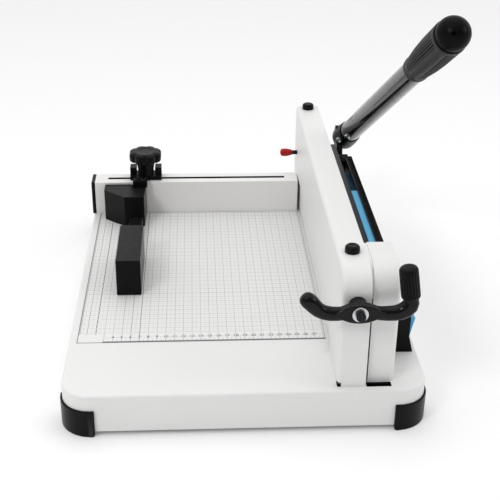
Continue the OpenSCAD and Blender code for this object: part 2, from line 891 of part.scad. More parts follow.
module front_bush() {
    color(gloss_black) difference() {
        union() {
            rod_y(bush_d, y_bush_front, y_flange + eps, crank_axis[0], crank_axis[1]);
            rod_y(bush_d + 2 * bush_flange, y_flange, y_flange + bush_flange_t,
                  crank_axis[0], crank_axis[1]);
        }
        rod_y(shaft_d + 2 * run_fit, y_bush_front - 1, y_flange + bush_flange_t + 1,
              crank_axis[0], crank_axis[1]);
    }
}

module rear_bush() {
    y_end = y_tower_end - tower_wall;
    color(gloss_black) difference() {
        rod_y(bush_d, y_end - rear_bush_len, y_end, crank_axis[0], crank_axis[1]);
        rod_y(shaft_d + 2 * run_fit, y_end - rear_bush_len - 1, y_end - 1,
              crank_axis[0], crank_axis[1]);
    }
}

module pin_bush() {
    color(zinc) difference() {
        rod_x(pin_bush_d, x_tower, x_tower + pin_bush_len, y_pin, z_pin);
        rod_x(pin_d + 2 * run_fit, x_tower - 1, x_tower + pin_bush_len + 1, y_pin, z_pin);
    }
}

module lever_rocker() {
    pivot = [y_pivot, z_pivot];
    color(gloss_black) difference() {
        union() {
            along_x(x_rocker, x_rocker_end) {
                translate(pivot) circle(d = rocker_hub_d);
                capsule(pivot, [y_roller, z_roller], rocker_arm_d);
                capsule(pivot, tail_at, tail_d);
                capsule(pivot, [socket_mid[1], socket_mid[2]], rocker_hub_d - 4);
            }
            on_handle(-socket_low) cylinder(d = socket_d, h = socket_len);
        }
        on_handle(-tube_low) cylinder(d = tube_d + 2 * seat_fit, h = socket_len + tube_d);
        on_socket_screws() socket_screw(seat_fit, socket_d);
        rod_x(pivot_d + 2 * run_fit, x_rocker - 1, x_rocker_end + 30, y_pivot, z_pivot);
        rod_x(roller_d / 2 + 2 * run_fit, x_rocker - 1, x_rocker_end + 1, y_roller, z_roller);
    }
}

module lever_roller() {
    color(steel) union() {
        rod_x(roller_d, x_bar + 0.4, x_bar_end + 0.2, y_roller, z_roller);
        rod_x(roller_d / 2, x_bar_end, x_rocker_end, y_roller, z_roller);
    }
}

// Place shapes on the seats of the two screws, one in the socket's wall and one in the tube's
module on_socket_screws() {
    for (at = socket_screws_at) {
        on_handle(at[0]) rotate(at[1]) rotate([0, 90, 0]) translate([0, 0, at[2]]) children();
    }
}

// One screw with its head on its seat, or the hole for it when room and a higher head are given
module socket_screw(room, head_h) {
    translate([0, 0, -socket_screw_in - room])
        cylinder(d = socket_screw_d + 2 * room, h = socket_screw_in + room + 0.1);
    cylinder(d = 2 * socket_screw_d + 2 * room, h = head_h);
}

module socket_screws() {
    color(zinc) on_socket_screws() socket_screw(0, 0.8 * socket_screw_d);
}

module handle_tube() {
    color(gloss_black) difference() {
        on_handle(0.3 - tube_low) cylinder(d = tube_d, h = handle_len + tube_low - 9);
        on_handle(-tube_low - 1) cylinder(d = tube_d - 2 * tube_wall, h = handle_len + tube_low);
        on_socket_screws() socket_screw(seat_fit, tube_d);
    }
}

module handle_grip() {
    r = grip_d / 2;
    color(rubber_black) on_handle(handle_len - grip_len) difference() {
        rotate_extrude() polygon([
            [0, 0], [tube_d / 2 + 1, 0], [tube_d / 2 + 1, 5], [r - 3, 20], [r - 1.5, 36],
            [r - 0.5, 56], [r, grip_len - grip_collar - 1], [r - 1, grip_len - grip_collar],
            for (a = [-20 : 10 : 90]) [grip_dome * cos(a), grip_len + grip_dome * sin(a)]
        ]);
        translate([0, 0, -1]) cylinder(d = tube_d + 2 * seat_fit, h = grip_len - 7);
        translate([0, 0, grip_len]) rotate([0, grip_vent_lean, grip_vent_turn])
            translate([0, 0, grip_dome - 7]) cylinder(d = grip_vent_d, h = 10);
    }
}

// Knife bar with a slot for each stud along the knife's travel and a level slot for the roller
module knife_bar() {
    y_high = y_roller + roller_d / 2 + slot_clear + 8;
    color(gloss_black) difference() {
        along_x(x_bar, x_bar_end) difference() {
            polygon([
                [y_bar, z_bar], [y_bar_end, z_bar], [y_bar_end, z_bar_low_top],
                [y_high, z_bar_low_top], [y_high, z_bar_top], [y_bar, z_bar_top]
            ]);
            for (y = studs_at) {
                capsule([y, z_stud], [y - knife_draw, z_stud + knife_drop], stud_slot_d);
            }
            capsule([y_roller - knife_draw - 1, z_roller], [y_roller + 1, z_roller],
                    roller_d + 2 * slot_clear);
        }
        block([x_bar - 1, y_bar - 1, z_bar - 1],
              [x_blade_end, y_bar_end + 1, z_blade_top + seat_fit]);
        for (i = [0 : blade_screws_n - 1]) {
            rod_x(blade_screw_d + 2 * seat_fit, x_blade_end - 1, x_bar_end + 1,
                  y_bar + (i + 0.5) * blade_len / blade_screws_n, z_blade_screw);
        }
    }
}

module knife_blade() {
    color(steel) difference() {
        along_y(y_bar, y_bar_end) polygon([
            [x_bar, z_edge], [x_blade_end, z_edge + bevel_h], [x_blade_end, z_blade_top],
            [x_bar, z_blade_top]
        ]);
        for (i = [0 : blade_screws_n - 1]) {
            rod_x(blade_screw_d + 2 * seat_fit, x_bar - 1, x_blade_end + 1,
                  y_bar + (i + 0.5) * blade_len / blade_screws_n, z_blade_screw);
        }
    }
}

module blade_screws() {
    color(zinc) for (i = [0 : blade_screws_n - 1]) {
        y = y_bar + (i + 0.5) * blade_len / blade_screws_n;
        rod_x(blade_screw_d, x_bar + 0.3, x_bar_end + eps, y, z_blade_screw);
        rod_x(2 * blade_screw_d - 1, x_bar_end, x_bar_end + blade_screw_head, y, z_blade_screw);
    }
}

module crank_shaft() {
    color(steel) difference() {
        rod_y(shaft_d, y_hub_front + 1, y_tower_end - tower_wall - 1.5,
              crank_axis[0], crank_axis[1]);
        rod_y(crank_bolt_d + 2 * run_fit, y_hub_front - 1, y_hub_front + 14,
              crank_axis[0], crank_axis[1]);
    }
}

// Point of the pinion's flank at a given radius, for the tooth on the X axis
function flank_angle(r) = r > base_circle_r
    ? sqrt(pow(r / base_circle_r, 2) - 1) * 180 / PI - acos(base_circle_r / r) : 0;
function flank_half(r) = 90 / pinion_teeth - gear_play / pitch_r * 90 / PI
    + flank_angle(pitch_r) - flank_angle(r);
function flank_point(r, side) = r * [cos(flank_half(r)), side * sin(flank_half(r))];

module pinion(y0) {
    root_r = pitch_r - gear_root;
    tip_r = pitch_r + gear_tip;
    radii = [root_r - 0.5, base_circle_r, pitch_r, (pitch_r + tip_r) / 2, tip_r];
    n = len(radii);
    color(steel) difference() {
        along_y(y0, y0 + gear_w) translate(crank_axis) {
            circle(r = root_r);
            for (i = [0 : pinion_teeth - 1]) {
                rotate(i * 360 / pinion_teeth) polygon([
                    for (k = [0 : n - 1]) flank_point(radii[k], -1),
                    for (k = [0 : n - 1]) flank_point(radii[n - 1 - k], 1)
                ]);
            }
        }
        rod_y(shaft_d + 2 * run_fit, y0 - 1, y0 + gear_w + 1, crank_axis[0], crank_axis[1]);
    }
}

module front_pinion() {
    pinion(y_front_gear);
}

module rear_pinion() {
    pinion(y_rear_gear);
}

// Toothed bar on the pinion's left, joined to the clamp's web
module rack(y0) {
    x_pitch = crank_axis[0] - pitch_r;
    root = x_pitch - gear_root;
    tip = x_pitch + gear_tip;
    half = tooth_pitch / 4 - gear_play / 2;
    above = ceil(clamp_lower / tooth_pitch);
    below = ceil((clamp_lift + 5) / tooth_pitch);
    color(steel) along_y(y0, y0 + gear_w) intersection() {
        union() {
            translate([x_press, z_rack]) square([root - x_press, z_rack_top - z_rack]);
            for (i = [-above : below]) {
                translate([0, crank_axis[1] + (0.5 - i) * tooth_pitch]) polygon([
                    [root - eps, -half - gear_root * tan(20)], [tip, -half + gear_tip * tan(20)],
                    [tip, half - gear_tip * tan(20)], [root - eps, half + gear_root * tan(20)]
                ]);
            }
        }
        translate([x_press - 1, z_rack]) square([tip - x_press + 2, z_rack_top - z_rack]);
    }
}

module front_rack() {
    rack(y_front_gear);
}

module rear_rack() {
    rack(y_rear_gear);
}

// Clamp: a trough with a thick left wall that carries on as a web to both racks
module press_plate() {
    press_wall = 3;
    color(white_paint) union() {
        difference() {
            block([x_press, y_press, z_press], [x_press_end, y_press_end, z_press + clamp_foot_h]);
            block([x_press + web_t, y_press + press_wall, z_press + 2 * press_wall],
                  [x_press_end - press_wall, y_press_end - press_wall, z_press + clamp_foot_h + 1]);
        }
        block([x_press, y_front_gear + gear_w, z_web], [x_press + web_t, y_rear_gear, z_web_top]);
    }
}

// Arm of the crank lever as a chain of rounded links from the hub
module crank_arm(points) {
    all = concat([[0, -1.5, crank_arm_d]], points);
    for (i = [0 : len(points) - 1]) {
        hull() {
            for (p = [all[i], all[i + 1]]) {
                translate([crank_axis[0] + p[0], y_crank, crank_axis[1] + p[1]])
                    sphere(d = p[2], $fn = 28);
            }
        }
    }
}

module crank_lever() {
    color(gloss_black) difference() {
        union() {
            rod_y(crank_hub_d, y_hub_front, y_hub_front + crank_hub_t,
                  crank_axis[0], crank_axis[1]);
            crank_arm(left_arm);
            crank_arm(right_arm);
            on_crank_grip(-8) cylinder(d = crank_neck_d, h = 8 + crank_grip_len / 2);
        }
        rod_y(shaft_d + 2 * run_fit, y_hub_front - 1, y_hub_front + crank_hub_t + 1,
              crank_axis[0], crank_axis[1]);
    }
}

// Place a shape on Z along the crank's grip
module on_crank_grip(s) {
    translate([crank_axis[0] + crank_grip_from[0], y_crank, crank_axis[1] + crank_grip_from[1]])
        rotate([0, crank_grip_lean, 0]) translate([0, 0, s]) children();
}

module crank_washer() {
    color(zinc) difference() {
        rod_y(washer_d, y_hub_front - washer_t, y_hub_front, crank_axis[0], crank_axis[1]);
        rod_y(crank_bolt_d + 2 * seat_fit, y_hub_front - washer_t - 1, y_hub_front + 1,
              crank_axis[0], crank_axis[1]);
    }
}

module crank_bolt() {
    color(gloss_black) union() {
        rod_y(crank_bolt_head_d, y_crank_front, y_hub_front - washer_t,
              crank_axis[0], crank_axis[1]);
        rod_y(crank_bolt_d, y_hub_front - washer_t - eps, y_hub_front + 13,
              crank_axis[0], crank_axis[1]);
    }
}

module crank_grip() {
    rib_d = 1.8;
    ribs = 18;
    round_end = 3;
    color(rubber_black) on_crank_grip(0) difference() {
        union() {
            rotate_extrude() polygon([
                [0, 0], [crank_grip_d / 2 - rib_d / 2, 0],
                [crank_grip_d / 2 - rib_d / 2, crank_grip_len - round_end],
                [crank_grip_d / 2 - rib_d / 2 - round_end, crank_grip_len], [0, crank_grip_len]
            ]);
            for (i = [0 : ribs - 1]) {
                rotate(i * 360 / ribs) translate([crank_grip_d / 2 - rib_d / 2, 0, 1])
                    cylinder(d = rib_d, h = crank_grip_len - round_end - 2, $fn = 16);
            }
        }
        translate([0, 0, -1])
            cylinder(d = crank_neck_d + 2 * seat_fit, h = crank_grip_len / 2 + 1.5);
    }
}

module guide_block() {
    color(black_plastic) difference() {
        union() {
            translate([0, 0, z_guide]) linear_extrude(guide_h) polygon([
                [x_guide_left, y_guide_end], [x_guide_left, y_guide_end - guide_facet],
                [x_guide - guide_nose, y_guide], [x_guide - 1, y_guide],
                [x_guide_right, y_guide_end]
            ]);
            along_x(x_guide - guide_nose + 1, x_guide - 3) polygon([
                [y_guide + eps, z_guide], [y_guide - ledge_out, z_guide],
                [y_guide - ledge_out, z_ledge], [y_guide + eps, z_ledge_top]
            ]);
        }
        block([x_guide_bar - seat_fit, y_guide - ledge_out - 1, z_guide_bar - seat_fit],
              [x_guide_bar + guide_bar_w + seat_fit, y_guide + guide_bar_in + seat_fit,
               z_guide_bar + guide_bar_h + seat_fit]);
        block([x_guide - guide_nose + 4, y_guide - ledge_out - 1, z_guide_bar - seat_fit],
              [x_guide - 5, y_guide + 6, z_ledge - 1.5]);
        for (x = guide_screws_at) {
            rod_z(guide_screw_d + 2 * seat_fit, z_guide_top - 12, z_guide_top + 1,
                  x, y_guide_end - 6);
        }
    }
}

module guide_bar() {
    color(black_plastic) block(
        [x_guide_bar, y_stop_end - guide_bar_in, z_guide_bar],
        [x_guide_bar + guide_bar_w, y_guide + guide_bar_in, z_guide_bar + guide_bar_h]
    );
}

module guide_stop() {
    color(black_plastic) difference() {
        block([x_stop, y_stop, z_guide], [x_stop_end, y_stop_end, z_guide + stop_h]);
        block([x_guide_bar - seat_fit, y_stop_end - guide_bar_in - seat_fit, z_guide_bar - seat_fit],
              [x_guide_bar + guide_bar_w + seat_fit, y_stop_end + 1,
               z_guide_bar + guide_bar_h + seat_fit]);
    }
}

module guide_saddle() {
    x_apron = x_guide - 17.3;
    x_apron_end = x_guide + 2.2;
    y_saddle = y_fence + 7;
    x0 = x_guide - saddle_w / 2;
    color(black_plastic) difference() {
        union() {
            block([x0, y_saddle, z_saddle], [x0 + saddle_w, y_fence_end - 2, z_saddle_top]);
            for (x = [x0, x0 + saddle_w - lug_w]) {
                block([x, y_slot - 4, z_saddle_top - eps],
                      [x + lug_w, y_fence_end - 4, z_saddle_top + lug_h]);
            }
            block([x_apron, y_guide_end - 12, z_guide_top], [x_apron_end, y_fence - 1, z_saddle_top]);
            block([x_apron, y_fence - 1 - eps, z_saddle], [x_apron_end, y_saddle + 1, z_saddle_top]);
        }
        rod_z(guide_stud_d + 2 * seat_fit, z_saddle - 1, z_saddle_top + 1, x_guide, y_slot);
        for (x = guide_screws_at) {
            rod_z(guide_screw_d + 2 * seat_fit, z_guide_top - 1, z_saddle_top + 1,
                  x, y_guide_end - 6);
        }
    }
}

module guide_stud() {
    z_tee = z_fence - fence_wall - 0.3;
    color(zinc) union() {
        block([x_guide - guide_tee_w / 2, y_slot - guide_tee_w / 2, z_tee - guide_tee_t],
              [x_guide + guide_tee_w / 2, y_slot + guide_tee_w / 2, z_tee]);
        rod_z(guide_stud_d, z_tee - eps, z_knob_head + knob_h / 2, x_guide, y_slot);
    }
}

module guide_screws() {
    color(zinc) for (x = guide_screws_at) {
        rod_z(guide_screw_d, z_guide_top - 10, z_saddle_top + eps, x, y_guide_end - 6);
        rod_z(2 * guide_screw_d, z_saddle_top, z_saddle_top + 2.6, x, y_guide_end - 6);
    }
}

module guide_knob() {
    lobe_d = 11;
    color(black_plastic) difference() {
        union() {
            translate([x_guide, y_slot, z_knob]) rotate_extrude() polygon([
                [0, 0], [11, 0], [11.3, knob_neck_h - 4], [13.5, knob_neck_h],
                [knob_d / 2 - lobe_d / 2 + 2, knob_neck_h],
                [knob_d / 2 - lobe_d / 2 + 2, knob_neck_h + knob_h - 2],
                [knob_d / 2 - lobe_d / 2, knob_neck_h + knob_h], [0, knob_neck_h + knob_h]
            ]);
            for (i = [0 : knob_lobes - 1]) {
                translate([x_guide, y_slot, z_knob_head]) rotate((i + 0.5) * 360 / knob_lobes)
                    translate([knob_d / 2 - lobe_d / 2, 0, 0]) cylinder(d = lobe_d, h = knob_h - 1);
            }
        }
        rod_z(guide_stud_d + 2 * run_fit, z_knob - 1, z_knob_head + knob_h / 2 + 0.5,
              x_guide, y_slot);
    }
}

module pin_rod() {
    color(steel) rod_x(pin_d, x_pin_knob_end - 8, x_pin_end, y_pin, z_pin);
}

module pin_knob() {
    waist = pin_knob_d - 3;
    color(red_plastic) difference() {
        translate([x_pin_knob, y_pin, z_pin]) rotate([0, 90, 0]) rotate_extrude() polygon([
            [0, 0], [pin_knob_d / 2 - 1.5, 0], [pin_knob_d / 2, 2],
            [pin_knob_d / 2, pin_knob_len / 2], [waist / 2, pin_knob_len], [0, pin_knob_len]
        ]);
        rod_x(pin_d + 2 * seat_fit, x_pin_knob_end - 8.1, x_pin_knob_end + 1, y_pin, z_pin);
    }
}

// Move the part so that its origin is the bottom centre of its box
module placed() {
    translate(origin_shift) children();
}

placed() base_shell();
placed() bottom_plate();
placed() foot_front_left();
placed() foot_front_right();
placed() foot_rear_left();
placed() foot_rear_right();
placed() foot_screws();
placed() table_sheet();
placed() cutting_stick();
placed() fence();
placed() fence_cap();
placed() fence_screws();
placed() clamp_housing();
placed() knife_post();
placed() housing_plugs();
placed() tower_screws();
placed() pivot_block();
placed() pivot_bolt();
placed() guide_studs();
placed() stud_nuts();
placed() slide_liner();
placed() guide_plate();
placed() stop_bracket();
placed() stop_buffer();
placed() front_bush();
placed() rear_bush();
placed() pin_bush();
placed() lever_rocker();
placed() lever_roller();
placed() socket_screws();
placed() handle_tube();
placed() handle_grip();
placed() knife_bar();
placed() knife_blade();
placed() blade_screws();
placed() crank_shaft();
placed() front_pinion();
placed() rear_pinion();
placed() crank_lever();
placed() crank_washer();
placed() crank_bolt();
placed() crank_grip();
placed() press_plate();
placed() front_rack();
placed() rear_rack();
placed() guide_block();
placed() guide_bar();
placed() guide_stop();
placed() guide_saddle();
placed() guide_stud();
placed() guide_screws();
placed() guide_knob();
placed() pin_rod();
placed() pin_knob();
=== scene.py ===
"""Looks of a stack paper cutter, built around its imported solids."""

import json
import math
from types import SimpleNamespace

import bmesh
import bpy
from bpy.props import FloatProperty, FloatVectorProperty, IntProperty, PointerProperty
from mathutils import Matrix, Vector

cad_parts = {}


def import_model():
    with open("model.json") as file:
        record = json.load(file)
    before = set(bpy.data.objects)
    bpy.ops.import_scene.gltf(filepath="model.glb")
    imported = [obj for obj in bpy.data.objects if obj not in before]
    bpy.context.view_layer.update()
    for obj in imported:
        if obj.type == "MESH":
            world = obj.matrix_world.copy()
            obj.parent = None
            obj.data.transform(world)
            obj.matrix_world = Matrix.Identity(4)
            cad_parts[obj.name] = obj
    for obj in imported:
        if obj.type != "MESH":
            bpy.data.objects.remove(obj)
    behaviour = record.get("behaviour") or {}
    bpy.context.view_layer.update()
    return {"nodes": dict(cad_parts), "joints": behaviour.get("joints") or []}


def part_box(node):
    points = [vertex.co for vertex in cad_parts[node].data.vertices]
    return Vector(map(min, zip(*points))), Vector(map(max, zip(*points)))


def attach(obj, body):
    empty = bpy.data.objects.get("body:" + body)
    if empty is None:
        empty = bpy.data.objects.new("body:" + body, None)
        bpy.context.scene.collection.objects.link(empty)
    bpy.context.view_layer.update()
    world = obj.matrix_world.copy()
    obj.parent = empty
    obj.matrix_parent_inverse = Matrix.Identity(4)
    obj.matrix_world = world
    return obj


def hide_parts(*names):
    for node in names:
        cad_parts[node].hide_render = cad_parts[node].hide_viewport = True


bl_info = {
    "name": "Stack paper cutter",
    "version": (1, 0, 0),
    "blender": (4, 5, 0),
    "location": "View3D > Sidebar > Cutter",
    "description": "Dresses the solids of a stack paper cutter with detailed pieces and finishes",
    "category": "Object",
}

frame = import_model()

# Pieces are modelled in millimetres and made metres when they are finished
MM = 0.001
TURN = 2 * math.pi
X_AXIS = Vector((1, 0, 0))
Y_AXIS = Vector((0, 1, 0))
Z_AXIS = Vector((0, 0, 1))
# Distance in mm below which two points count as one
NEAR = 1e-4
# How far in mm a cutter runs past the face that it opens
PAST = 1.0
# Gap in mm round a piece that sits in another
FIT = 0.1
# Radius in mm of the edges where the housing and the post meet
JOINT_ROUND = 0.6
# Half the side of the floor in metres
FLOOR_REACH = 40.0


def linear(hex_colour):
    """Linear red, green, blue and alpha of an sRGB hex colour."""
    parts = [int(hex_colour[i : i + 2], 16) / 255 for i in (0, 2, 4)]
    return [c / 12.92 if c <= 0.04045 else ((c + 0.055) / 1.055) ** 2.4 for c in parts] + [1.0]


def node_box(name):
    """Lowest and highest corner of a CAD node, in millimetres."""
    low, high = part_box(name)
    return low / MM, high / MM


def joint_point(name):
    """Point on a joint's axis, in millimetres."""
    joint = next(j for j in frame["joints"] if j["name"] == name)
    return Vector(joint["pos_m"]) / MM


# Properties


def length(name, description, millimetres):
    """Property that holds a length."""
    return FloatProperty(
        name=name,
        description=description,
        subtype="DISTANCE",
        unit="LENGTH",
        default=millimetres * MM,
    )


def angle(name, description, degrees):
    """Property that holds an angle."""
    return FloatProperty(
        name=name,
        description=description,
        subtype="ANGLE",
        unit="ROTATION",
        default=math.radians(degrees),
    )


def hue(name, description, hex_colour):
    """Property that holds a finish's colour."""
    return FloatVectorProperty(
        name=name, description=description, subtype="COLOR", size=4, default=linear(hex_colour)
    )


class CutterSizes(bpy.types.PropertyGroup):
    """Sizes of the details that the looks add"""

    base_round: length("Base corner", "Corner radius of the base", 32.0)
    base_fold: length("Base fold", "Radius of the table's edge", 3.0)
    base_wall: length("Base wall", "Wall of the base", 3.0)
    shoulder: length("Shoulder", "Radius of the tower's front shoulder", 28.0)
    rear_shoulder: length("Rear shoulder", "Radius of the tower's rear shoulder", 5.0)
    tower_round: length("Tower edge", "Radius of the housing's left edges", 5.5)
    post_round: length("Post edge", "Radius of the post's right edges", 5.0)
    tower_wall: length("Tower wall", "Wall of the clamp housing", 2.0)
    window_height: length("Window", "Height of the housing's window", 47.0)
    grid_pitch: length("Grid", "Spacing of the table's grid", 10.0)
    handle_lean: angle("Lean", "Outward lean of the handle", 9.5)
    handle_rise: angle("Rise", "Rise of the handle", 37.5)
    handle_length: length("Handle", "Length of the handle to its round end", 345.0)
    grip_length: length("Grip", "Length of the handle's grip", 104.0)
    grip_ribs: IntProperty(name="Grip ribs", description="Ribs of the handle's grip", default=38)
    crank_ribs: IntProperty(name="Crank ribs", description="Ribs of the crank's grip", default=20)
    knob_lobes: IntProperty(name="Knob lobes", description="Lobes of the guide's knob", default=8)


class CutterColours(bpy.types.PropertyGroup):
    """Colours of the finishes"""

    white: hue("White", "Powder coat", "E6E6E5")
    # Fence colour, lighter than the white: pale paint lifted as painted light, to make up for the
    # shade the fence stands in.
    grey: hue("Grey", "Fence paint", "ECEBE9")
    black: hue("Black", "Moulded plastic", "0A0A0B")
    enamel: hue("Enamel", "Gloss black enamel", "0A0A0B")
    rubber: hue("Rubber", "Grip", "0B0B0C")
    blue: hue("Blue", "Slide liner", "4BA8D3")
    red: hue("Red", "Lock pin's knob", "A80F18")
    ink: hue("Ink", "Table's printing", "59595B")
    floor: hue("Floor", "Floor and backdrop", "FCFCFC")


class CutterStage(bpy.types.PropertyGroup):
    """Camera of the stage"""

    camera_place: FloatVectorProperty(
        name="Place",
        description="Where the camera stands",
        subtype="TRANSLATION",
        unit="LENGTH",
        default=(-0.0667, -1.1196, 0.6654),
    )
    pitch: angle("Pitch", "Angle below the horizon", 27.21)
    yaw: angle("Yaw", "Angle to the right of +Y", 3.348)
    roll: angle("Roll", "Roll about the line of sight", 0.746)
    lens: FloatProperty(
        name="Lens",
        description="Focal length",
        subtype="DISTANCE_CAMERA",
        unit="CAMERA",
        default=72.71,
    )


def sizes():
    """Sizes of this scene: lengths in millimetres, angles in radians, and counts."""
    group = bpy.context.scene.cutter_sizes
    found = {}
    for prop in group.bl_rna.properties:
        if prop.type in {"FLOAT", "INT"}:
            value = getattr(group, prop.identifier)
            found[prop.identifier] = round(value / MM, 4) if prop.unit == "LENGTH" else value
    return SimpleNamespace(**found)


def colours():
    """The colours of this scene."""
    return bpy.context.scene.cutter_colours


# Mesh helpers


def new_box(low, high):
    """New mesh with a box between two corners."""
    low, high = Vector(low), Vector(high)
    bm = bmesh.new()
    bmesh.ops.create_cube(bm, size=1)
    bmesh.ops.scale(bm, vec=high - low, verts=bm.verts)
    bmesh.ops.translate(bm, vec=(low + high) / 2, verts=bm.verts)
    return bm


def sharp_edges(bm, degrees):
    """Edges between two faces that turn by more than an angle."""
    limit = math.radians(degrees)
    return [e for e in bm.edges if len(e.link_faces) == 2 and e.calc_face_angle(0) > limit]


def edges_in(bm, axis, value, other=None, other_value=0.0):
    """Edges that lie in a plane, or along the line where two planes meet."""
    planes = [(axis, value)] + ([] if other is None else [(other, other_value)])
    return [
        e for e in bm.edges if all(abs(v.co[i] - at) < NEAR for v in e.verts for i, at in planes)
    ]


def is_level(edge):
    """Whether both ends of an edge have the same height."""
    return abs(edge.verts[0].co.z - edge.verts[1].co.z) < NEAR


def bevel(bm, edges, width, segments):
    """Round edges."""
    bmesh.ops.bevel(
        bm,
        geom=list(edges),
        offset=width,
        offset_type="OFFSET",
        segments=segments,
        profile=0.5,
        affect="EDGES",
        clamp_overlap=True,
        material=-1,
    )


def rounded_box(low, high, corner, top=0.0):
    """New mesh with a box that has round corners in plan and a round top edge."""
    bm = new_box(low, high)
    bevel(bm, [e for e in bm.edges if not is_level(e)], corner, 12)
    if top > 0:
        bevel(bm, edges_in(bm, 2, high[2]), top, 5)
    return bm


def add_prism(bm, outline, start, end):
    """Prism on an outline of points in space, from start to end."""
    verts = [bm.verts.new(Vector(p) + Vector(start)) for p in outline]
    face = bm.faces.new(verts)
    made = bmesh.ops.extrude_face_region(bm, geom=[face])["geom"]
    moved = [g for g in made if isinstance(g, bmesh.types.BMVert)]
    bmesh.ops.translate(bm, vec=Vector(end) - Vector(start), verts=moved)


def put(bm, old, place):
    """Move all that a mesh has beside its old vertices to a place; the moved vertices."""
    moved = [v for v in bm.verts if v not in old]
    bmesh.ops.transform(bm, matrix=place, verts=moved)
    return moved


def add_lathe(bm, profile, place, steps):
    """Turned shape: a profile of radius and height, on the place's Z axis."""
    old = set(bm.verts)
    verts = [bm.verts.new((r, 0, h)) for r, h in profile]
    edges = [bm.edges.new(pair) for pair in zip(verts, verts[1:])]
    bmesh.ops.spin(
        bm,
        geom=verts + edges,
        cent=(0, 0, 0),
        axis=Z_AXIS,
        angle=TURN,
        steps=steps,
        use_merge=True,
        use_duplicate=False,
    )
    bmesh.ops.remove_doubles(bm, verts=put(bm, old, place), dist=NEAR)


def add_hexagon(bm, place, across_flats, height):
    """Six-sided head on the place's Z axis, with its top corners broken."""
    old = set(bm.verts)
    radius = across_flats / math.sqrt(3)
    head = bmesh.ops.create_cone(
        bm, cap_ends=True, segments=6, radius1=radius, radius2=radius, depth=height
    )["verts"]
    bmesh.ops.translate(bm, vec=(0, 0, height / 2), verts=head)
    corners = [v for v in head if abs(v.co.z - height) < NEAR]
    bevel(bm, [e for e in bm.edges if all(v in corners for v in e.verts)], height * 0.16, 2)
    put(bm, old, place)


def round_cutter(place, radius, start, end, steps):
    """New mesh with a cylinder on the place's Z axis, to cut a round hole."""
    bm = bmesh.new()
    add_lathe(bm, [(0, start), (radius, start), (radius, end), (0, end)], place, steps)
    return bm


def add_sweep(bm, stations, sides, across, swell=None, square=1.0):
    """Tube through stations of centre, half height and half depth; across is the depth direction.
    Swell scales a ring by turn and row, and a square below 1 flattens the tube's faces."""
    rings = []
    centres = [Vector(s[0]) for s in stations]
    for i, (_, high, deep) in enumerate(stations):
        ahead = centres[min(i + 1, len(centres) - 1)]
        behind = centres[max(i - 1, 0)]
        side = across.cross((ahead - behind).normalized()).normalized()
        ring = bmesh.ops.create_circle(bm, segments=sides, radius=1.0)["verts"]
        for v in ring:
            turn = math.atan2(v.co.y, v.co.x)
            size = swell(turn, i) if swell else 1.0
            c, d = (math.copysign(abs(t) ** square, t) for t in (math.cos(turn), math.sin(turn)))
            v.co = centres[i] + side * c * high * size + across * d * deep * size
        rings.append(ring)
    for pair in zip(rings, rings[1:]):
        loops = [set(ring) for ring in pair]
        edges = [e for loop in loops for e in bm.edges if loop.issuperset(e.verts)]
        bmesh.ops.bridge_loops(bm, edges=edges)
    for ring in (rings[0], rings[-1]):
        bmesh.ops.contextual_create(bm, geom=ring)


def add_ribbed(bm, rows, foot, count, fine, depth, power, wave=math.cos, share=None):
    """Upright ribbed shape on a point. A row is a height, a radius and how much of the ribs' depth
    it has; count is the ribs, fine the sides of each, and share fades them round the turn."""

    def swell(turn, row):
        groove = depth * rows[row][2] * (1.0 - abs(wave(count * turn / 2)) ** power)
        return 1.0 - (groove * share(turn) if share else groove)

    stations = [(Vector(foot) + Vector((0, 0, z)), r, r) for z, r, _ in rows]
    add_sweep(bm, stations, count * fine, Y_AXIS, swell)


def along(point, direction):
    """Place at a point whose Z axis has a direction."""
    turn = Vector(direction).to_track_quat("Z", "Y").to_matrix().to_4x4()
    return Matrix.Translation(Vector(point)) @ turn


def copy_of(*names):
    """Merged copy of CAD nodes, in millimetres, with flat faces joined."""
    bm = bmesh.new()
    for name in names:
        bm.from_mesh(frame["nodes"][name].data)
    bmesh.ops.scale(bm, vec=(1 / MM,) * 3, verts=bm.verts)
    bmesh.ops.remove_doubles(bm, verts=bm.verts, dist=0.002)
    bmesh.ops.dissolve_limit(
        bm,
        angle_limit=math.radians(0.6),
        verts=bm.verts,
        edges=bm.edges,
        use_dissolve_boundaries=False,
    )
    return bm


def to_metres(bm, name):
    """Finished mesh, in metres, of a mesh under construction, which is freed."""
    bmesh.ops.recalc_face_normals(bm, faces=bm.faces)
    bmesh.ops.scale(bm, vec=(MM,) * 3, verts=bm.verts)
    mesh = bpy.data.meshes.new(name)
    bm.to_mesh(mesh)
    bm.free()
    return mesh


def carve(piece, cutters, lining=None):
    """Cut meshes under construction out of a piece; a lining finishes the cut faces."""
    piece.modifiers.clear()
    for bm in cutters:
        mesh = to_metres(bm, "cutter")
        mesh.materials.append(lining or piece.data.materials[0])
        tool = bpy.data.objects.new("cutter", mesh)
        bpy.context.scene.collection.objects.link(tool)
        cut = piece.modifiers.new("cut", "BOOLEAN")
        cut.operation = "DIFFERENCE"
        cut.solver = "EXACT"
        cut.material_mode = "TRANSFER"
        cut.object = tool
        graph = bpy.context.evaluated_depsgraph_get()
        carved = bpy.data.meshes.new_from_object(piece.evaluated_get(graph))
        piece.modifiers.remove(cut)
        old = piece.data
        piece.data = carved
        bpy.data.meshes.remove(old)
        bpy.data.objects.remove(tool)
        bpy.data.meshes.remove(mesh)
    shade(piece)


def weld_seams(piece, reach):
    """Close the hairline seams that a cut leaves beside a rounding."""
    bm = bmesh.new()
    bm.from_mesh(piece.data)
    ends = [v for v in bm.verts if any(not e.is_manifold for e in v.link_edges)]
    bmesh.ops.remove_doubles(bm, verts=ends, dist=reach * MM)
    bm.to_mesh(piece.data)
    bm.free()


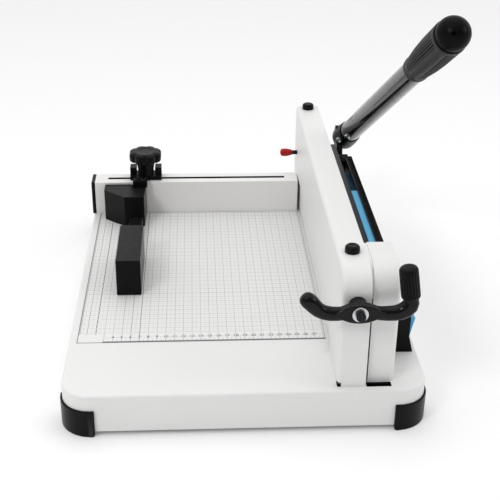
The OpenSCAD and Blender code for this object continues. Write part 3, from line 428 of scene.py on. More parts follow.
def shade(piece, degrees=32):
    """Smooth shading up to an angle, with large faces kept flat."""
    for polygon in piece.data.polygons:
        polygon.use_smooth = True
    piece.data.set_sharp_from_angle(angle=math.radians(degrees))
    normals = piece.modifiers.new("normals", "WEIGHTED_NORMAL")
    normals.keep_sharp = True


def finish_piece(bm, name, body, material, replaced=()):
    """Turn a mesh under construction into a finished piece that rides on a body."""
    bmesh.ops.remove_doubles(bm, verts=bm.verts, dist=NEAR)
    mesh = to_metres(bm, name)
    piece = bpy.data.objects.new(name, mesh)
    bpy.context.scene.collection.objects.link(piece)
    mesh.materials.append(material)
    shade(piece)
    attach(piece, body)
    if replaced:
        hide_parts(*replaced)
    return piece


def soften_node(name, piece_name, body, material, width, segments=2, degrees=35):
    """Piece that is a CAD node with its edges rounded."""
    bm = copy_of(name)
    bevel(bm, sharp_edges(bm, degrees), width, segments)
    return finish_piece(bm, piece_name, body, material, [name])


def second_finish(piece, material, chosen):
    """Give the faces of a piece that are chosen by a test a finish of their own."""
    piece.data.materials.append(material)
    for polygon in piece.data.polygons:
        if chosen(polygon):
            polygon.material_index = len(piece.data.materials) - 1


def paint_node(name, material):
    """Give a CAD node that keeps its shape a finish."""
    mesh = frame["nodes"][name].data
    mesh.materials.clear()
    mesh.materials.append(material)


# Finishes


def add_node(tree, kind, links=None, **settings):
    """Add a node with its settings, its constants and its links."""
    node = tree.nodes.new(kind)
    for key, value in settings.items():
        setattr(node, key, value)
    for key, value in (links or {}).items():
        socket = node.inputs[key]
        if isinstance(value, bpy.types.NodeSocket):
            tree.links.new(value, socket)
        else:
            socket.default_value = value
    return node


def new_finish(name, sockets):
    """New material with constants on its shader; the material, its tree and the shader."""
    material = bpy.data.materials.new(name)
    material.use_nodes = True
    shader = material.node_tree.nodes["Principled BSDF"]
    for key, value in sockets.items():
        shader.inputs[key].default_value = value
    return material, material.node_tree, shader


def surface(name, sockets, gloss, bump, cloud=None, streak=1.0, detail=2.0):
    """Finish, made once, that varies with grains of real sizes. Each of these starts with a grain
    in mm: gloss goes on with the ends of the roughness, bump with a height in mm and a strength,
    and cloud with a colour and its spread. A streak stretches the grains along Y."""
    if name in bpy.data.materials:
        return bpy.data.materials[name]
    material, tree, shader = new_finish(name, sockets)
    place = add_node(tree, "ShaderNodeTexCoord").outputs["Object"]
    if streak != 1.0:
        stretch = {"Vector": place, "Scale": (1.0, 1.0 / streak, 1.0)}
        place = add_node(tree, "ShaderNodeMapping", stretch).outputs["Vector"]
    grains = {}
    for size in dict.fromkeys(part[0] for part in (cloud, gloss, bump) if part):
        setting = {"Vector": place, "Scale": 1 / (size * MM), "Detail": detail}
        grains[size] = add_node(tree, "ShaderNodeTexNoise", setting).outputs["Fac"]
    grain, low, high = gloss
    span = {"Value": grains[grain], "From Min": 0.3, "From Max": 0.7, "To Min": low, "To Max": high}
    rough = add_node(tree, "ShaderNodeMapRange", span)
    tree.links.new(rough.outputs["Result"], shader.inputs["Roughness"])
    grain, height, strength = bump
    rise = {"Height": grains[grain], "Distance": height * MM, "Strength": strength}
    relief = add_node(tree, "ShaderNodeBump", rise)
    tree.links.new(relief.outputs["Normal"], shader.inputs["Normal"])
    if cloud:
        grain, colour, spread = cloud
        dark = [c * (1 - spread) for c in colour[:3]] + [1.0]
        light = [min(1.0, c * (1 + spread)) for c in colour[:3]] + [1.0]
        shades = {0: grains[grain], 6: dark, 7: light}
        mix = add_node(tree, "ShaderNodeMix", shades, data_type="RGBA")
        tree.links.new(mix.outputs[2], shader.inputs["Base Color"])
    return material


def powder_coat(name, colour):
    """Powder-coated sheet metal: satin, with a fine orange peel."""
    return surface(
        name,
        {"IOR": 1.5},
        gloss=(14.0, 0.36, 0.46),
        bump=(1.6, 0.05, 0.25),
        cloud=(60.0, colour, 0.012),
    )


def white_coat():
    """White powder coat of the base and the tower: a clean satin white."""
    return powder_coat("white_powder_coated_steel", colours().white)


def grey_coat():
    """Pale grey paint of the fence, satin and a little warmer than the white; its colour is set
    lighter than the white coat as painted light, to make up for the shade the fence stands in.
    """
    return powder_coat("pale_paint_lifted_for_shade", colours().grey)


def moulded_black():
    """Injection-moulded ABS with a spark-eroded grain: matt, a little lighter on its grain."""
    return surface(
        "moulded_black_abs",
        {"IOR": 1.53, "Specular IOR Level": 0.1, "Sheen Weight": 0.1, "Sheen Roughness": 0.35},
        gloss=(6.0, 0.3, 0.42),
        bump=(0.9, 0.06, 0.35),
        cloud=(25.0, colours().black, 0.18),
    )


def black_enamel():
    """Gloss enamel on cast and drawn steel: deep black with sharp highlights."""
    return surface(
        "gloss_black_enamel",
        {"IOR": 1.52, "Specular IOR Level": 0.05, "Coat Weight": 0.3, "Coat Roughness": 0.05},
        gloss=(9.0, 0.16, 0.26),
        bump=(3.5, 0.04, 0.12),
        cloud=(40.0, colours().enamel, 0.15),
    )


def black_chrome():
    """Black chrome plate on the handle's tube: dark, with strong reflections at its edges."""
    return surface(
        "black_chrome_plate",
        {"Specular IOR Level": 0.1, "Coat Weight": 1.0, "Coat IOR": 1.8, "Coat Roughness": 0.07},
        gloss=(9.0, 0.2, 0.3),
        bump=(3.5, 0.03, 0.1),
        cloud=(40.0, colours().enamel, 0.15),
    )


def grip_rubber():
    """Moulded vinyl grip: matt, with a dusty bloom."""
    return surface(
        "moulded_black_vinyl",
        {"IOR": 1.52, "Specular IOR Level": 0.55},
        gloss=(5.0, 0.4, 0.5),
        bump=(0.7, 0.05, 0.3),
        cloud=(12.0, colours().rubber, 0.2),
    )


def smooth_vinyl():
    """Smooth vinyl of the grip's round end: deep black with a soft highlight."""
    return surface(
        "smooth_black_vinyl",
        {"Specular IOR Level": 0.06},
        gloss=(5.0, 0.28, 0.36),
        bump=(0.7, 0.03, 0.2),
        cloud=(12.0, colours().rubber, 0.15),
    )


def plated(name, hex_colour, low, high, streak=1.0):
    """Bare metal: a fine grain that breaks up its reflections."""
    return surface(
        name,
        {"Metallic": 1.0},
        gloss=(1.2, low, high),
        bump=(1.2, 0.02, 0.15),
        cloud=(1.2, linear(hex_colour), 0.08),
        streak=streak,
        detail=3.0,
    )


def zinc_plate():
    """Bright zinc plate on screws and washers: pale, with bright soft-edged reflections."""
    return plated("bright_zinc_plate", "C9CBCE", 0.22, 0.38)


def ground_steel():
    """Ground tool steel: bright, with fine lines along its length."""
    return plated("ground_tool_steel", "B4B7BA", 0.2, 0.34, 14.0)


def black_oxide():
    """Oil-blackened steel of the knife bar, the rocker and the pins: dark, with a dull gleam."""
    return plated("blackened_steel", "2A2A2C", 0.3, 0.45)


def moulded_colour(name, colour, low, high, shine=0.5):
    """Self-coloured moulding: even, with the faint waves of its mould."""
    return surface(
        name,
        {"IOR": 1.49, "Specular IOR Level": shine},
        gloss=(5.0, low, high),
        bump=(1.4, 0.02, 0.06),
        cloud=(18.0, colour, 0.05),
    )


def blue_acetal():
    """Blue acetal of the slide liner and the buffer: satin."""
    return moulded_colour("blue_acetal", colours().blue, 0.38, 0.5)


def red_phenolic():
    """Red phenolic knob: polished."""
    return moulded_colour("red_phenolic", colours().red, 0.14, 0.22, 0.2)


def ivory_pvc():
    """Ivory PVC of the cutting stick: matt."""
    return moulded_colour("ivory_pvc", linear("E4DFC8"), 0.5, 0.62)


def dark_primer():
    """Painted shade: a matt dark grey under the base, inside the housing and the fence rail, and on
    the post's face in its joint, so that openings and gaps look deep in shadow.
    """
    return moulded_colour("painted_shade_dark_grey", linear("161617"), 0.6, 0.7)


def printing_ink():
    """Screen-printed grey ink: matt."""
    return moulded_colour("grey_printing_ink", colours().ink, 0.6, 0.7)


def darkest(tree, marks):
    """Darkness of printed marks. A mark is a darkness and the bands that all have to hold; a band
    is an axis, half the step at which it comes again or 0, and a test with its values."""
    dark = 0.0
    for mark, *bands in marks:
        for axis, half_step, test, *values in bands:
            if half_step:
                wave = {0: axis, 1: half_step}
                axis = add_node(tree, "ShaderNodeMath", wave, operation="PINGPONG").outputs[0]
            inside = {0: axis, **{i + 1: value for i, value in enumerate(values)}}
            band = add_node(tree, "ShaderNodeMath", inside, operation=test).outputs[0]
            both = {0: mark, 1: band}
            mark = add_node(tree, "ShaderNodeMath", both, operation="MULTIPLY").outputs[0]
        either = {0: dark, 1: mark}
        dark = add_node(tree, "ShaderNodeMath", either, operation="MAXIMUM").outputs[0]
    return dark


def printed_film(low, high):
    """White film printed with a 10 mm grid and a ruler strip along its front edge.
    Lines are drawn about twice as wide as real ones, so that they show."""
    material = surface("printed_table_film", {}, gloss=(8.0, 0.42, 0.52), bump=(1.2, 0.02, 0.15))
    tree = material.node_tree
    pitch = sizes().grid_pitch
    place = add_node(tree, "ShaderNodeTexCoord")
    shift = {"Location": (-low.x / MM, -low.y / MM, 0.0), "Scale": (1 / MM,) * 3}
    corner = add_node(tree, "ShaderNodeMapping", {"Vector": place.outputs["Object"], **shift})
    axes = add_node(tree, "ShaderNodeSeparateXYZ", {"Vector": corner.outputs["Vector"]})
    x, y = axes.outputs["X"], axes.outputs["Y"]

    def every(axis, step, line):
        return axis, step / 2, "LESS_THAN", line / 2

    def at(axis, value, line):
        return axis, 0, "COMPARE", value, line / 2

    def before(axis, value):
        return axis, 0, "LESS_THAN", value

    def beyond(axis, value):
        return axis, 0, "GREATER_THAN", value

    strip, edge = 2 * pitch, 0.7
    patch_right, patch_rear = 2.9 * pitch, 1.7 * pitch
    on_grid = beyond(y, strip)
    dashes = (y, 5.0, "GREATER_THAN", 1.2)
    marks = [
        (0.28, every(x, pitch / 2, 0.35), on_grid),
        (0.28, every(y, pitch / 2, 0.4), on_grid),
        (0.5, every(x, pitch, 0.55), on_grid),
        (0.5, every(y, pitch, 0.6), on_grid),
        (0.6, at(x, pitch, 0.8), dashes),
        (0.95, at(x, 2 * pitch, 1.0), dashes),
        (0.55, at(x, 5 * pitch, 0.7)),
        (0.65, at(x, 6 * pitch, 0.8), dashes),
        (0.75, at(x, 7 * pitch, 0.9)),
        (0.45, at(y, strip, 0.6)),
        (0.6, at(y, 11 * pitch, 0.7)),
        (0.35, at(y, pitch, 0.7)),
        (0.5, every(x, pitch, 0.7), before(y, 0.9 * strip)),
        (0.5, every(x, pitch / 2, 0.45), before(y, 0.3 * strip)),
        (0.42, before(x, 2.6), beyond(y, patch_rear)),
        (0.95, before(y, 2.1)),
        (0.6, beyond(x, (high.x - low.x) / MM - edge)),
        (0.6, beyond(y, (high.y - low.y) / MM - edge)),
    ]
    # A blank patch in the front left corner, inside its own thin border
    blank = darkest(tree, [(1.0, before(x, patch_right), before(y, patch_rear))])
    border = darkest(tree, [(0.95, before(x, 0.9)), (0.6, before(y, edge))])
    lines = {0: darkest(tree, marks), 1: blank}
    clear = add_node(tree, "ShaderNodeMath", lines, operation="SUBTRACT", use_clamp=True)
    framed = {0: clear.outputs[0], 1: border}
    printed = add_node(tree, "ShaderNodeMath", framed, operation="MAXIMUM")
    shades = {0: printed.outputs[0], 6: list(colours().white), 7: list(colours().ink)}
    mix = add_node(tree, "ShaderNodeMix", shades, data_type="RGBA")
    tree.links.new(mix.outputs[2], tree.nodes["Principled BSDF"].inputs["Base Color"])
    return material


def floor_finish():
    """Seamless white paper: nearly white to the camera, and it keeps soft shadows."""
    colour, glow_share = list(colours().floor), 0.15
    matt = {"Base Color": colour, "Roughness": 0.9, "Specular IOR Level": 0.0}
    material, tree, shader = new_finish("seamless_paper", matt)
    path = add_node(tree, "ShaderNodeLightPath")
    seen = path.outputs["Is Camera Ray"]
    for ray in ("Is Glossy Ray", "Is Transmission Ray"):
        rays = {0: seen, 1: path.outputs[ray]}
        seen = add_node(tree, "ShaderNodeMath", rays, operation="MAXIMUM").outputs[0]
    share = add_node(tree, "ShaderNodeMath", {0: seen, 1: glow_share}, operation="MULTIPLY")
    glow = add_node(tree, "ShaderNodeEmission", {"Color": colour, "Strength": 1.0})
    layers = {0: share.outputs[0], 1: shader.outputs["BSDF"], 2: glow.outputs["Emission"]}
    mix = add_node(tree, "ShaderNodeMixShader", layers)
    tree.links.new(mix.outputs["Shader"], tree.nodes["Material Output"].inputs["Surface"])
    return material


class CUTTER_OT_base(bpy.types.Operator):
    """Base with its corner feet"""

    bl_idname = "cutter.base"
    bl_label = "Base"

    def execute(self, context):
        s = sizes()
        low, high = node_box("base_shell")
        base = finish_piece(
            rounded_box(low, high, s.base_round, s.base_fold),
            "base_body",
            "frame",
            white_coat(),
            ["base_shell"],
        )
        wall = s.base_wall
        inside = rounded_box(
            low + Vector((wall, wall, -PAST)), high - Vector((wall,) * 3), s.base_round - wall
        )
        # Openings before the post and beside the housing's front corner
        tower_low, _ = node_box("clamp_housing")
        post_low, post_high = node_box("knife_post")
        under, over = high.z - wall - PAST, high.z + PAST
        slot = new_box(
            (post_low.x, tower_low.y - 0.5, under), (post_high.x - 3.5, post_low.y - 0.2, over)
        )
        notch = new_box(
            (tower_low.x + 0.4, tower_low.y + 0.4, under),
            (tower_low.x + 4.2, tower_low.y + 5.8, over),
        )
        stick_low, stick_high = node_box("cutting_stick")
        fit = Vector((FIT,) * 3)
        trough = new_box(stick_low - fit, stick_high + fit)
        carve(base, [trough])
        # The cut faces of the inside, the slot and the notch are painted dark grey as painted
        # shade, so that the openings look deep.
        carve(base, [inside, slot, notch], dark_primer())
        # The bottom plate is painted dark grey as painted shade under the base.
        paint_node("bottom_plate", dark_primer())
        paint_node("foot_screws", zinc_plate())
        for name in ("foot_front_left", "foot_front_right", "foot_rear_left", "foot_rear_right"):
            self.foot(name, low, high)
        return {"FINISHED"}

    def foot(self, name, base_low, base_high):
        """Pad under a corner with a guard round it."""
        corner = sizes().base_round
        low, high = node_box(name)
        right = low.x + high.x > base_low.x + base_high.x
        rear = low.y + high.y > base_low.y + base_high.y
        out_x, in_x = (high.x, low.x) if right else (low.x, high.x)
        out_y, in_y = (high.y, low.y) if rear else (low.y, high.y)
        proud = abs(out_x - (base_high.x if right else base_low.x))
        bm = new_box(low, high)
        bevel(bm, edges_in(bm, 0, out_x, 1, out_y), corner + proud, 14)
        inner_round, rim_round, seam = 6.0, 1.4, 0.8
        inner_ends = edges_in(bm, 0, in_x, 2, low.z) + edges_in(bm, 1, in_y, 2, low.z)
        bevel(bm, inner_ends, inner_round, 5)
        side, reach = high.x - low.x - 1e-3, corner + 4
        rim = []
        for e in sharp_edges(bm, 40):
            away = [(abs(v.co.x - out_x), abs(v.co.y - out_y)) for v in e.verts]
            outer = all(min(d) < reach for d in away)
            inner = any(all(d[i] > side for d in away) for i in (0, 1))
            if is_level(e) and outer and not inner:
                rim.append(e)
        bevel(bm, rim, rim_round, 3)
        foot = finish_piece(
            bm, name + "_guard", "frame", moulded_black(), [name]
        )
        fit = Vector((FIT, FIT, 0.0))
        hollow_high = Vector((base_high.x + FIT, base_high.y + FIT, high.z + PAST))
        carve(foot, [rounded_box(base_low - fit, hollow_high, corner + FIT)])
        weld_seams(foot, seam)


class CUTTER_OT_table(bpy.types.Operator):
    """Printed table sheet with its numbers, and the cutting stick"""

    bl_idname = "cutter.table"
    bl_label = "Table"

    def execute(self, context):
        low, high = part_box("table_sheet")
        bm = copy_of("table_sheet")
        bevel(bm, sharp_edges(bm, 35), 0.2, 1)
        finish_piece(
            bm, "table_film", "frame", printed_film(low, high), ["table_sheet"]
        )
        self.numbers(low / MM, high / MM)
        soften_node("cutting_stick", "stick", "frame", ivory_pvc(), 0.3)
        return {"FINISHED"}

    def numbers(self, low, high):
        """Numbers of the ruler strip, in centimetres from its left end."""
        pitch = sizes().grid_pitch
        first, last = 4, int((high.x - low.x) / pitch)
        text_height, foot_line, thick = 6.4, 8.6, 0.02
        bm = bmesh.new()
        for number in range(first, last):
            curve = bpy.data.curves.new("number", "FONT")
            curve.body = str(number)
            curve.size = text_height
            curve.align_x = "CENTER"
            curve.extrude = thick
            curve.resolution_u = 3
            written = bpy.data.objects.new("number", curve)
            mesh = written.to_mesh()
            place = (low.x + number * pitch, low.y + foot_line, high.z + thick)
            mesh.transform(Matrix.Translation(place))
            bm.from_mesh(mesh)
            written.to_mesh_clear()
            bpy.data.objects.remove(written)
            bpy.data.curves.remove(curve)
        finish_piece(bm, "ruler_numbers", "frame", printing_ink())


class CUTTER_OT_fence(bpy.types.Operator):
    """Rear fence with its end cap"""

    bl_idname = "cutter.fence"
    bl_label = "Fence"

    def execute(self, context):
        rail = soften_node("fence", "fence_rail", "frame", grey_coat(), 0.7)
        low, high = node_box("fence")
        skin = 0.9

        def inner(polygon):
            centre = polygon.center / MM
            return all(low[i] + skin < centre[i] < high[i] - skin for i in range(3))

        # Faces inside the hollow rail are painted dark grey as painted shade.
        second_finish(rail, dark_primer(), inner)
        soften_node("fence_cap", "fence_end", "frame", moulded_black(), 0.8)
        paint_node("fence_screws", zinc_plate())
        return {"FINISHED"}


class CUTTER_OT_tower(bpy.types.Operator):
    """Clamp housing, knife post, plugs and bushes"""

    bl_idname = "cutter.tower"
    bl_label = "Tower"

    def execute(self, context):
        self.housing()
        self.post()
        self.plugs()
        soften_node("front_bush", "shaft_boss", "frame", black_enamel(), 0.9, 3)
        paint_node("rear_bush", black_enamel())
        for name in ("pin_bush", "tower_screws"):
            paint_node(name, zinc_plate())
        return {"FINISHED"}

    def shell(self, low, high, rear=0.0, left=0.0, right=0.0):
        """New mesh with a wall that has round shoulders and round long edges."""
        bm = new_box(low, high)
        bevel(bm, edges_in(bm, 1, low.y, 2, high.z), sizes().shoulder, 14)
        if rear > 0:
            bevel(bm, edges_in(bm, 1, high.y, 2, high.z), rear, 8)
        for x, width in ((low.x, left), (high.x, right)):
            if width > 0:
                outline = [
                    e for e in edges_in(bm, 0, x) if any(v.co.z > low.z + 1e-3 for v in e.verts)
                ]
                bevel(bm, outline, width, 6)
        return bm

    def housing(self):
        """Hollow housing with a window for the clamp and holes for shaft and lock pin."""
        s = sizes()
        low, high = node_box("clamp_housing")
        housing = finish_piece(
            self.shell(low, high, s.rear_shoulder, s.tower_round, JOINT_ROUND),
            "clamp_tower",
            "frame",
            white_coat(),
            ["clamp_housing"],
        )
        wall = s.tower_wall
        inner_low, inner_high = low + Vector((wall,) * 3), high - Vector((wall,) * 3)
        inner_low.z = low.z - PAST
        inside = new_box(inner_low, inner_high)
        for y, shoulder, segments in (
            (inner_low.y, s.shoulder, 14),
            (inner_high.y, s.rear_shoulder, 8),
        ):
            bevel(inside, edges_in(inside, 1, y, 2, inner_high.z), shoulder - wall, segments)
        notch_size = Vector((4.4, 6, 5))
        notch = new_box(low - Vector((PAST,) * 3), low + notch_size)
        # Faces inside the housing and in its front notch are painted dark grey as painted shade.
        carve(housing, [inside, notch], dark_primer())
        window_front, window_rear = self.window_span()
        window = new_box(
            (low.x - PAST, window_front, low.z - PAST),
            (high.x + PAST, window_rear, low.z + s.window_height),
        )
        bush_low, bush_high = node_box("front_bush")
        bush = (bush_low + bush_high) / 2
        rod_low, rod_high = node_box("pin_rod")
        pin = (rod_low + rod_high) / 2
        shaft_radius, pin_radius, bush_radius = 9.75, 3.3, 6.05
        shaft_place = along((bush.x, low.y - 3, bush.z), Y_AXIS)
        pin_place = along((high.x - 4, pin.y, pin.z), X_AXIS)
        bush_place = along((low.x - 3, pin.y, pin.z), X_AXIS)
        holes = [
            round_cutter(shaft_place, shaft_radius, 0, 8, 40),
            round_cutter(pin_place, pin_radius, 0, 8, 32),
            round_cutter(bush_place, bush_radius, 0, 6, 32),
        ]
        carve(housing, [window] + holes)

    def window_span(self):
        """Front and rear end of the housing's window, beside the clamp's foot."""
        verts = [v.co / MM for v in frame["nodes"]["press_plate"].data.vertices]
        right = max(v.x for v in verts)
        foot = [v.y for v in verts if v.x > right - 1]
        return min(foot) - 0.5, max(foot) + 0.5

    def post(self):
        """Knife post, set off the housing by a joint that a lip closes over the shoulder; the
        post's face in the joint is painted dark grey as painted shade.
        """
        joint, lip_height = 1.6, 34
        _, tower_high = node_box("clamp_housing")
        low, high = node_box("knife_post")
        low.x += joint
        post = finish_piece(
            self.shell(low, high, 0, JOINT_ROUND, sizes().post_round),
            "knife_tower",
            "frame",
            white_coat(),
            ["knife_post"],
        )
        # The post's left face, seen in the joint, is painted dark grey as painted shade.
        second_finish(post, dark_primer(), lambda polygon: polygon.normal.x < -0.99)
        lip_low = Vector((tower_high.x, low.y + 0.8, high.z - lip_height))
        lip_high = Vector((low.x, high.y - 1, high.z - JOINT_ROUND))
        lip = self.shell(lip_low, lip_high)
        finish_piece(lip, "joint_lip", "frame", white_coat())

    def plugs(self):
        """Two soft plugs with a dished top."""
        low, high = node_box("housing_plugs")
        radius = (high.x - low.x) / 2
        _, tower_high = node_box("clamp_housing")
        tall = high.z - tower_high.z
        edge = 3.4
        arc = [
            (radius - edge + edge * math.cos(a), tall - edge + edge * math.sin(a))
            for a in (math.radians(15 * i) for i in range(7))
        ]
        profile = [(0, 0), (radius - 0.5, 0), (radius, 0.5)] + arc
        profile += [(radius - 4.2, tall - 0.1), (radius - 5.2, tall - 0.4), (0, tall - 0.5)]
        bm = bmesh.new()
        for y in (low.y + radius, high.y - radius):
            place = Matrix.Translation(((low.x + high.x) / 2, y, tower_high.z))
            add_lathe(bm, profile, place, 48)
        finish_piece(
            bm, "soft_plugs", "frame", moulded_black(), ["housing_plugs"]
        )


class CUTTER_OT_knife(bpy.types.Operator):
    """Knife, its guides and the stop bracket"""

    bl_idname = "cutter.knife"
    bl_label = "Knife"

    def execute(self, context):
        soften_node("knife_bar", "knife_beam", "knife", black_oxide(), 0.5)
        paint_node("knife_blade", ground_steel())
        self.blade_screws()
        soften_node("slide_liner", "liner", "frame", blue_acetal(), 0.5)
        self.crest()
        soften_node("guide_plate", "guide_cheek", "frame", black_enamel(), 0.8)
        paint_node("guide_studs", black_oxide())
        self.nuts()
        soften_node("stop_bracket", "stop_angle", "frame", moulded_black(), 0.8)
        soften_node("stop_buffer", "stop_pad", "frame", blue_acetal(), 0.5)
        return {"FINISHED"}

    def crest(self):
        """Level front part of the liner's top, over its slope."""
        low, high = node_box("slide_liner")
        share, slope_fall = 0.56, 26.0
        top, end = high.z - 0.2, low.y + share * (high.y - low.y)
        outline = [(0, low.y, top), (0, end, top), (0, end, top - share * slope_fall)]
        bm = bmesh.new()
        add_prism(bm, outline, (low.x, 0, 0), (high.x, 0, 0))
        finish_piece(bm, "liner_crest", "frame", blue_acetal())

    def blade_screws(self):
        """Button heads with a hexagon socket, on shanks through the bar."""
        low, high = node_box("blade_screws")
        count, head, shank_radius = 6, 1.6, 2.5
        radius = (high.z - low.z) / 2
        pitch = (high.y - low.y - 2 * radius) / (count - 1)
        shank = high.x - low.x - head
        profile = [(0, -shank), (shank_radius, -shank), (shank_radius, 0), (radius, 0)]
        profile += [(radius, 0.6), (radius - 0.5, 1.2), (radius - 1.6, head)]
        profile += [(1.6, head), (1.5, 0.5), (0, 0.4)]
        bm = bmesh.new()
        for i in range(count):
            y = low.y + radius + i * pitch
            place = along((high.x - head, y, (low.z + high.z) / 2), X_AXIS)
            add_lathe(bm, profile, place, 24)
        finish_piece(bm, "blade_bolts", "knife", zinc_plate(), ["blade_screws"])

    def nuts(self):
        """Hexagon nuts on the guide studs."""
        low, high = node_box("stud_nuts")
        radius = (high.z - low.z) / 2
        across_flats = 2 * radius * 0.92
        bm = bmesh.new()
        for y in (low.y + radius, high.y - radius):
            place = along((low.x, y, (low.z + high.z) / 2), X_AXIS)
            add_hexagon(bm, place, across_flats, high.x - low.x)
        finish_piece(bm, "hexagon_nuts", "frame", zinc_plate(), ["stud_nuts"])


class CUTTER_OT_lever(bpy.types.Operator):
    """Rocker, pivot, handle tube and grip"""

    bl_idname = "cutter.lever"
    bl_label = "Lever"

    def execute(self, context):
        place = self.handle_place()
        rocker = soften_node(
            "lever_rocker", "rocker", "lever", black_oxide(), 0.5, 2, 50
        )
        taper = bmesh.new()
        rim = [(16.6, -12), (20, -12), (20, 10), (13.8, 10), (13.8, 5), (15.1, 5), (16.6, -12)]
        add_lathe(taper, rim, place, 64)
        carve(rocker, [taper])
        paint_node("lever_roller", black_oxide())
        soften_node("pivot_block", "pivot_pad", "frame", black_enamel(), 0.8)
        self.pivot()
        self.socket_screws(place)
        self.tube(place)
        self.grip(place)
        return {"FINISHED"}

    def handle_place(self):
        """Place on the handle's lower end whose Z axis runs up the handle."""
        s = sizes()
        lean, rise = s.handle_lean, s.handle_rise
        direction = Vector(
            (math.sin(lean), -math.cos(lean) * math.cos(rise), math.cos(lean) * math.sin(rise))
        )
        pivot = joint_point("lever_hinge")
        _, tower_high = node_box("clamp_housing")
        start = Vector((tower_high.x + 31, pivot.y - 2.5, pivot.z + 43.6))
        turn = Matrix.Rotation(math.atan2(direction.y, direction.x), 4, "Z")
        tilt = Matrix.Rotation(math.acos(direction.z), 4, "Y")
        return Matrix.Translation(start) @ turn @ tilt

    def pivot(self):
        """Pivot bolt with a washer and a hexagon head."""
        low, high = node_box("pivot_bolt")
        centre = (low + high) / 2
        head, washer, across_flats = 5.0, 1.4, 17.0
        shank = high.x - low.x - head
        profile = [(0, 0), (6.0, 0), (6.0, shank), (10.0, shank)]
        profile += [(10.0, shank + washer), (0, shank + washer)]
        bm = bmesh.new()
        add_lathe(bm, profile, along((low.x, centre.y, centre.z), X_AXIS), 48)
        seat = along((low.x + shank + washer, centre.y, centre.z), X_AXIS)
        add_hexagon(bm, seat, across_flats, head - washer)
        finish_piece(bm, "pivot_screw", "frame", zinc_plate(), ["pivot_bolt"])

    def screw_places(self, place):
        """Place across the handle and seat of each of the two screws."""
        found = []
        for station, degrees, seat in ((-6, -62, 15.5), (17, -45, 13.3)):
            turn = Matrix.Rotation(math.radians(degrees), 4, "Z")
            across = turn @ Matrix.Rotation(math.pi / 2, 4, "Y")
            found.append((place @ Matrix.Translation((0, 0, station)) @ across, seat))
        return found

    def socket_screws(self, place):
        """Hexagon heads with a flange, one on the socket and one on the tube."""
        flange = [(0, -4.2), (2, -4.2), (2, 0), (4, 0), (4, 0.6), (3.6, 0.9), (0, 0.9)]
        across_flats, height = 6.4, 2.4
        bm = bmesh.new()
        for head, seat in self.screw_places(place):
            add_lathe(bm, [(r, seat + h) for r, h in flange], head, 24)
            top = head @ Matrix.Translation((0, 0, seat + 0.8))
            add_hexagon(bm, top, across_flats, height)
        finish_piece(bm, "socket_bolts", "lever", zinc_plate(), ["socket_screws"])

    def tube(self, place):
        """Tube with a stepped hole for each screw."""
        outer, wall, start, end = 14.0, 2.5, -17.7, sizes().handle_length - 8.7
        inner = outer - wall
        profile = [(inner, start), (outer, start), (outer, end), (inner, end), (inner, start)]
        tube = bmesh.new()
        add_lathe(tube, profile, place, 64)
        pipe = finish_piece(
            tube, "handle_pipe", "lever", black_chrome(), ["handle_tube"]
        )
        holes = []
        for head, seat in self.screw_places(place):
            step = [(0, 5), (2.1, 5), (2.1, seat), (4.1, seat), (4.1, 20), (0, 20)]
            hole = bmesh.new()
            add_lathe(hole, step, head, 32)
            holes.append(hole)
        carve(pipe, holes)

    def grip(self, place):
        """Ribbed grip with a smooth collar, a round end behind a rim and a small vent in it."""
        s = sizes()
        start, tall, ball = s.handle_length - s.grip_length, s.grip_length, 18.75
        rows = [(0, 14.6, 0), (0.5, 15.2, 0), (3.8, 15.6, 0), (4.6, 15.2, 0), (5.4, 14.9, 0)]
        rows += [(8, 15.2, 0), (10, 15.5, 0.3), (13, 15.8, 0.7), (20, 16.5, 0.9), (28, 17.3, 1)]
        rows += [(36, 18.0, 1), (56, 19.0, 1), (80, 19.3, 1), (tall - 13, 19.5, 1)]
        rows += [(tall - 11, 19.5, 0.3), (tall - 10, 19.5, 0), (tall - 8.4, 19.5, 0)]
        rows += [(tall - 7.4, 19.2, 0), (tall - 7.0, 18.5, 0), (tall - 6.7, 17.8, 0)]
        for degrees in (-20, -12, -4, 4, 12, 21, 30, 39, 48, 57, 66, 75, 83, 88):
            a = math.radians(degrees)
            rows.append((tall + ball * math.sin(a), ball * math.cos(a), 0))
        smooth_at, smooth_wide = math.radians(-41), math.radians(23)

        def beside_smooth(turn):
            facing = abs(math.remainder(turn - smooth_at, TURN))
            return min(1.0, max(0.0, (facing - smooth_wide * 0.8) / (smooth_wide * 0.2)))

        bm = bmesh.new()
        foot, ribs = (0, 0, start), s.grip_ribs
        add_ribbed(bm, rows, foot, ribs, fine=12, depth=0.105, power=0.8, share=beside_smooth)
        bmesh.ops.transform(bm, matrix=place, verts=bm.verts)
        grip = finish_piece(
            bm, "handle_sleeve", "lever", grip_rubber(), ["handle_grip"]
        )
        top, vent_turn, vent_lean = start + tall, math.radians(-53), math.radians(30)
        pole = place @ Matrix.Translation((0, 0, top)) @ Matrix.Rotation(vent_turn, 4, "Z")
        pole = pole @ Matrix.Rotation(vent_lean, 4, "Y")
        vent = bmesh.new()
        hole = [(0, -6), (1.7, -6), (1.9, -1), (2.2, 3), (0, 3)]
        add_lathe(vent, [(r, ball + h) for r, h in hole], pole, 24)
        bore_radius, bore_end = 14.1, top - 8
        carve(grip, [vent, round_cutter(place, bore_radius, start - PAST, bore_end, 64)])
        down, ball_foot = place.inverted(), top - 7.2
        second_finish(
            grip, smooth_vinyl(), lambda polygon: (down @ (polygon.center / MM)).z > ball_foot
        )


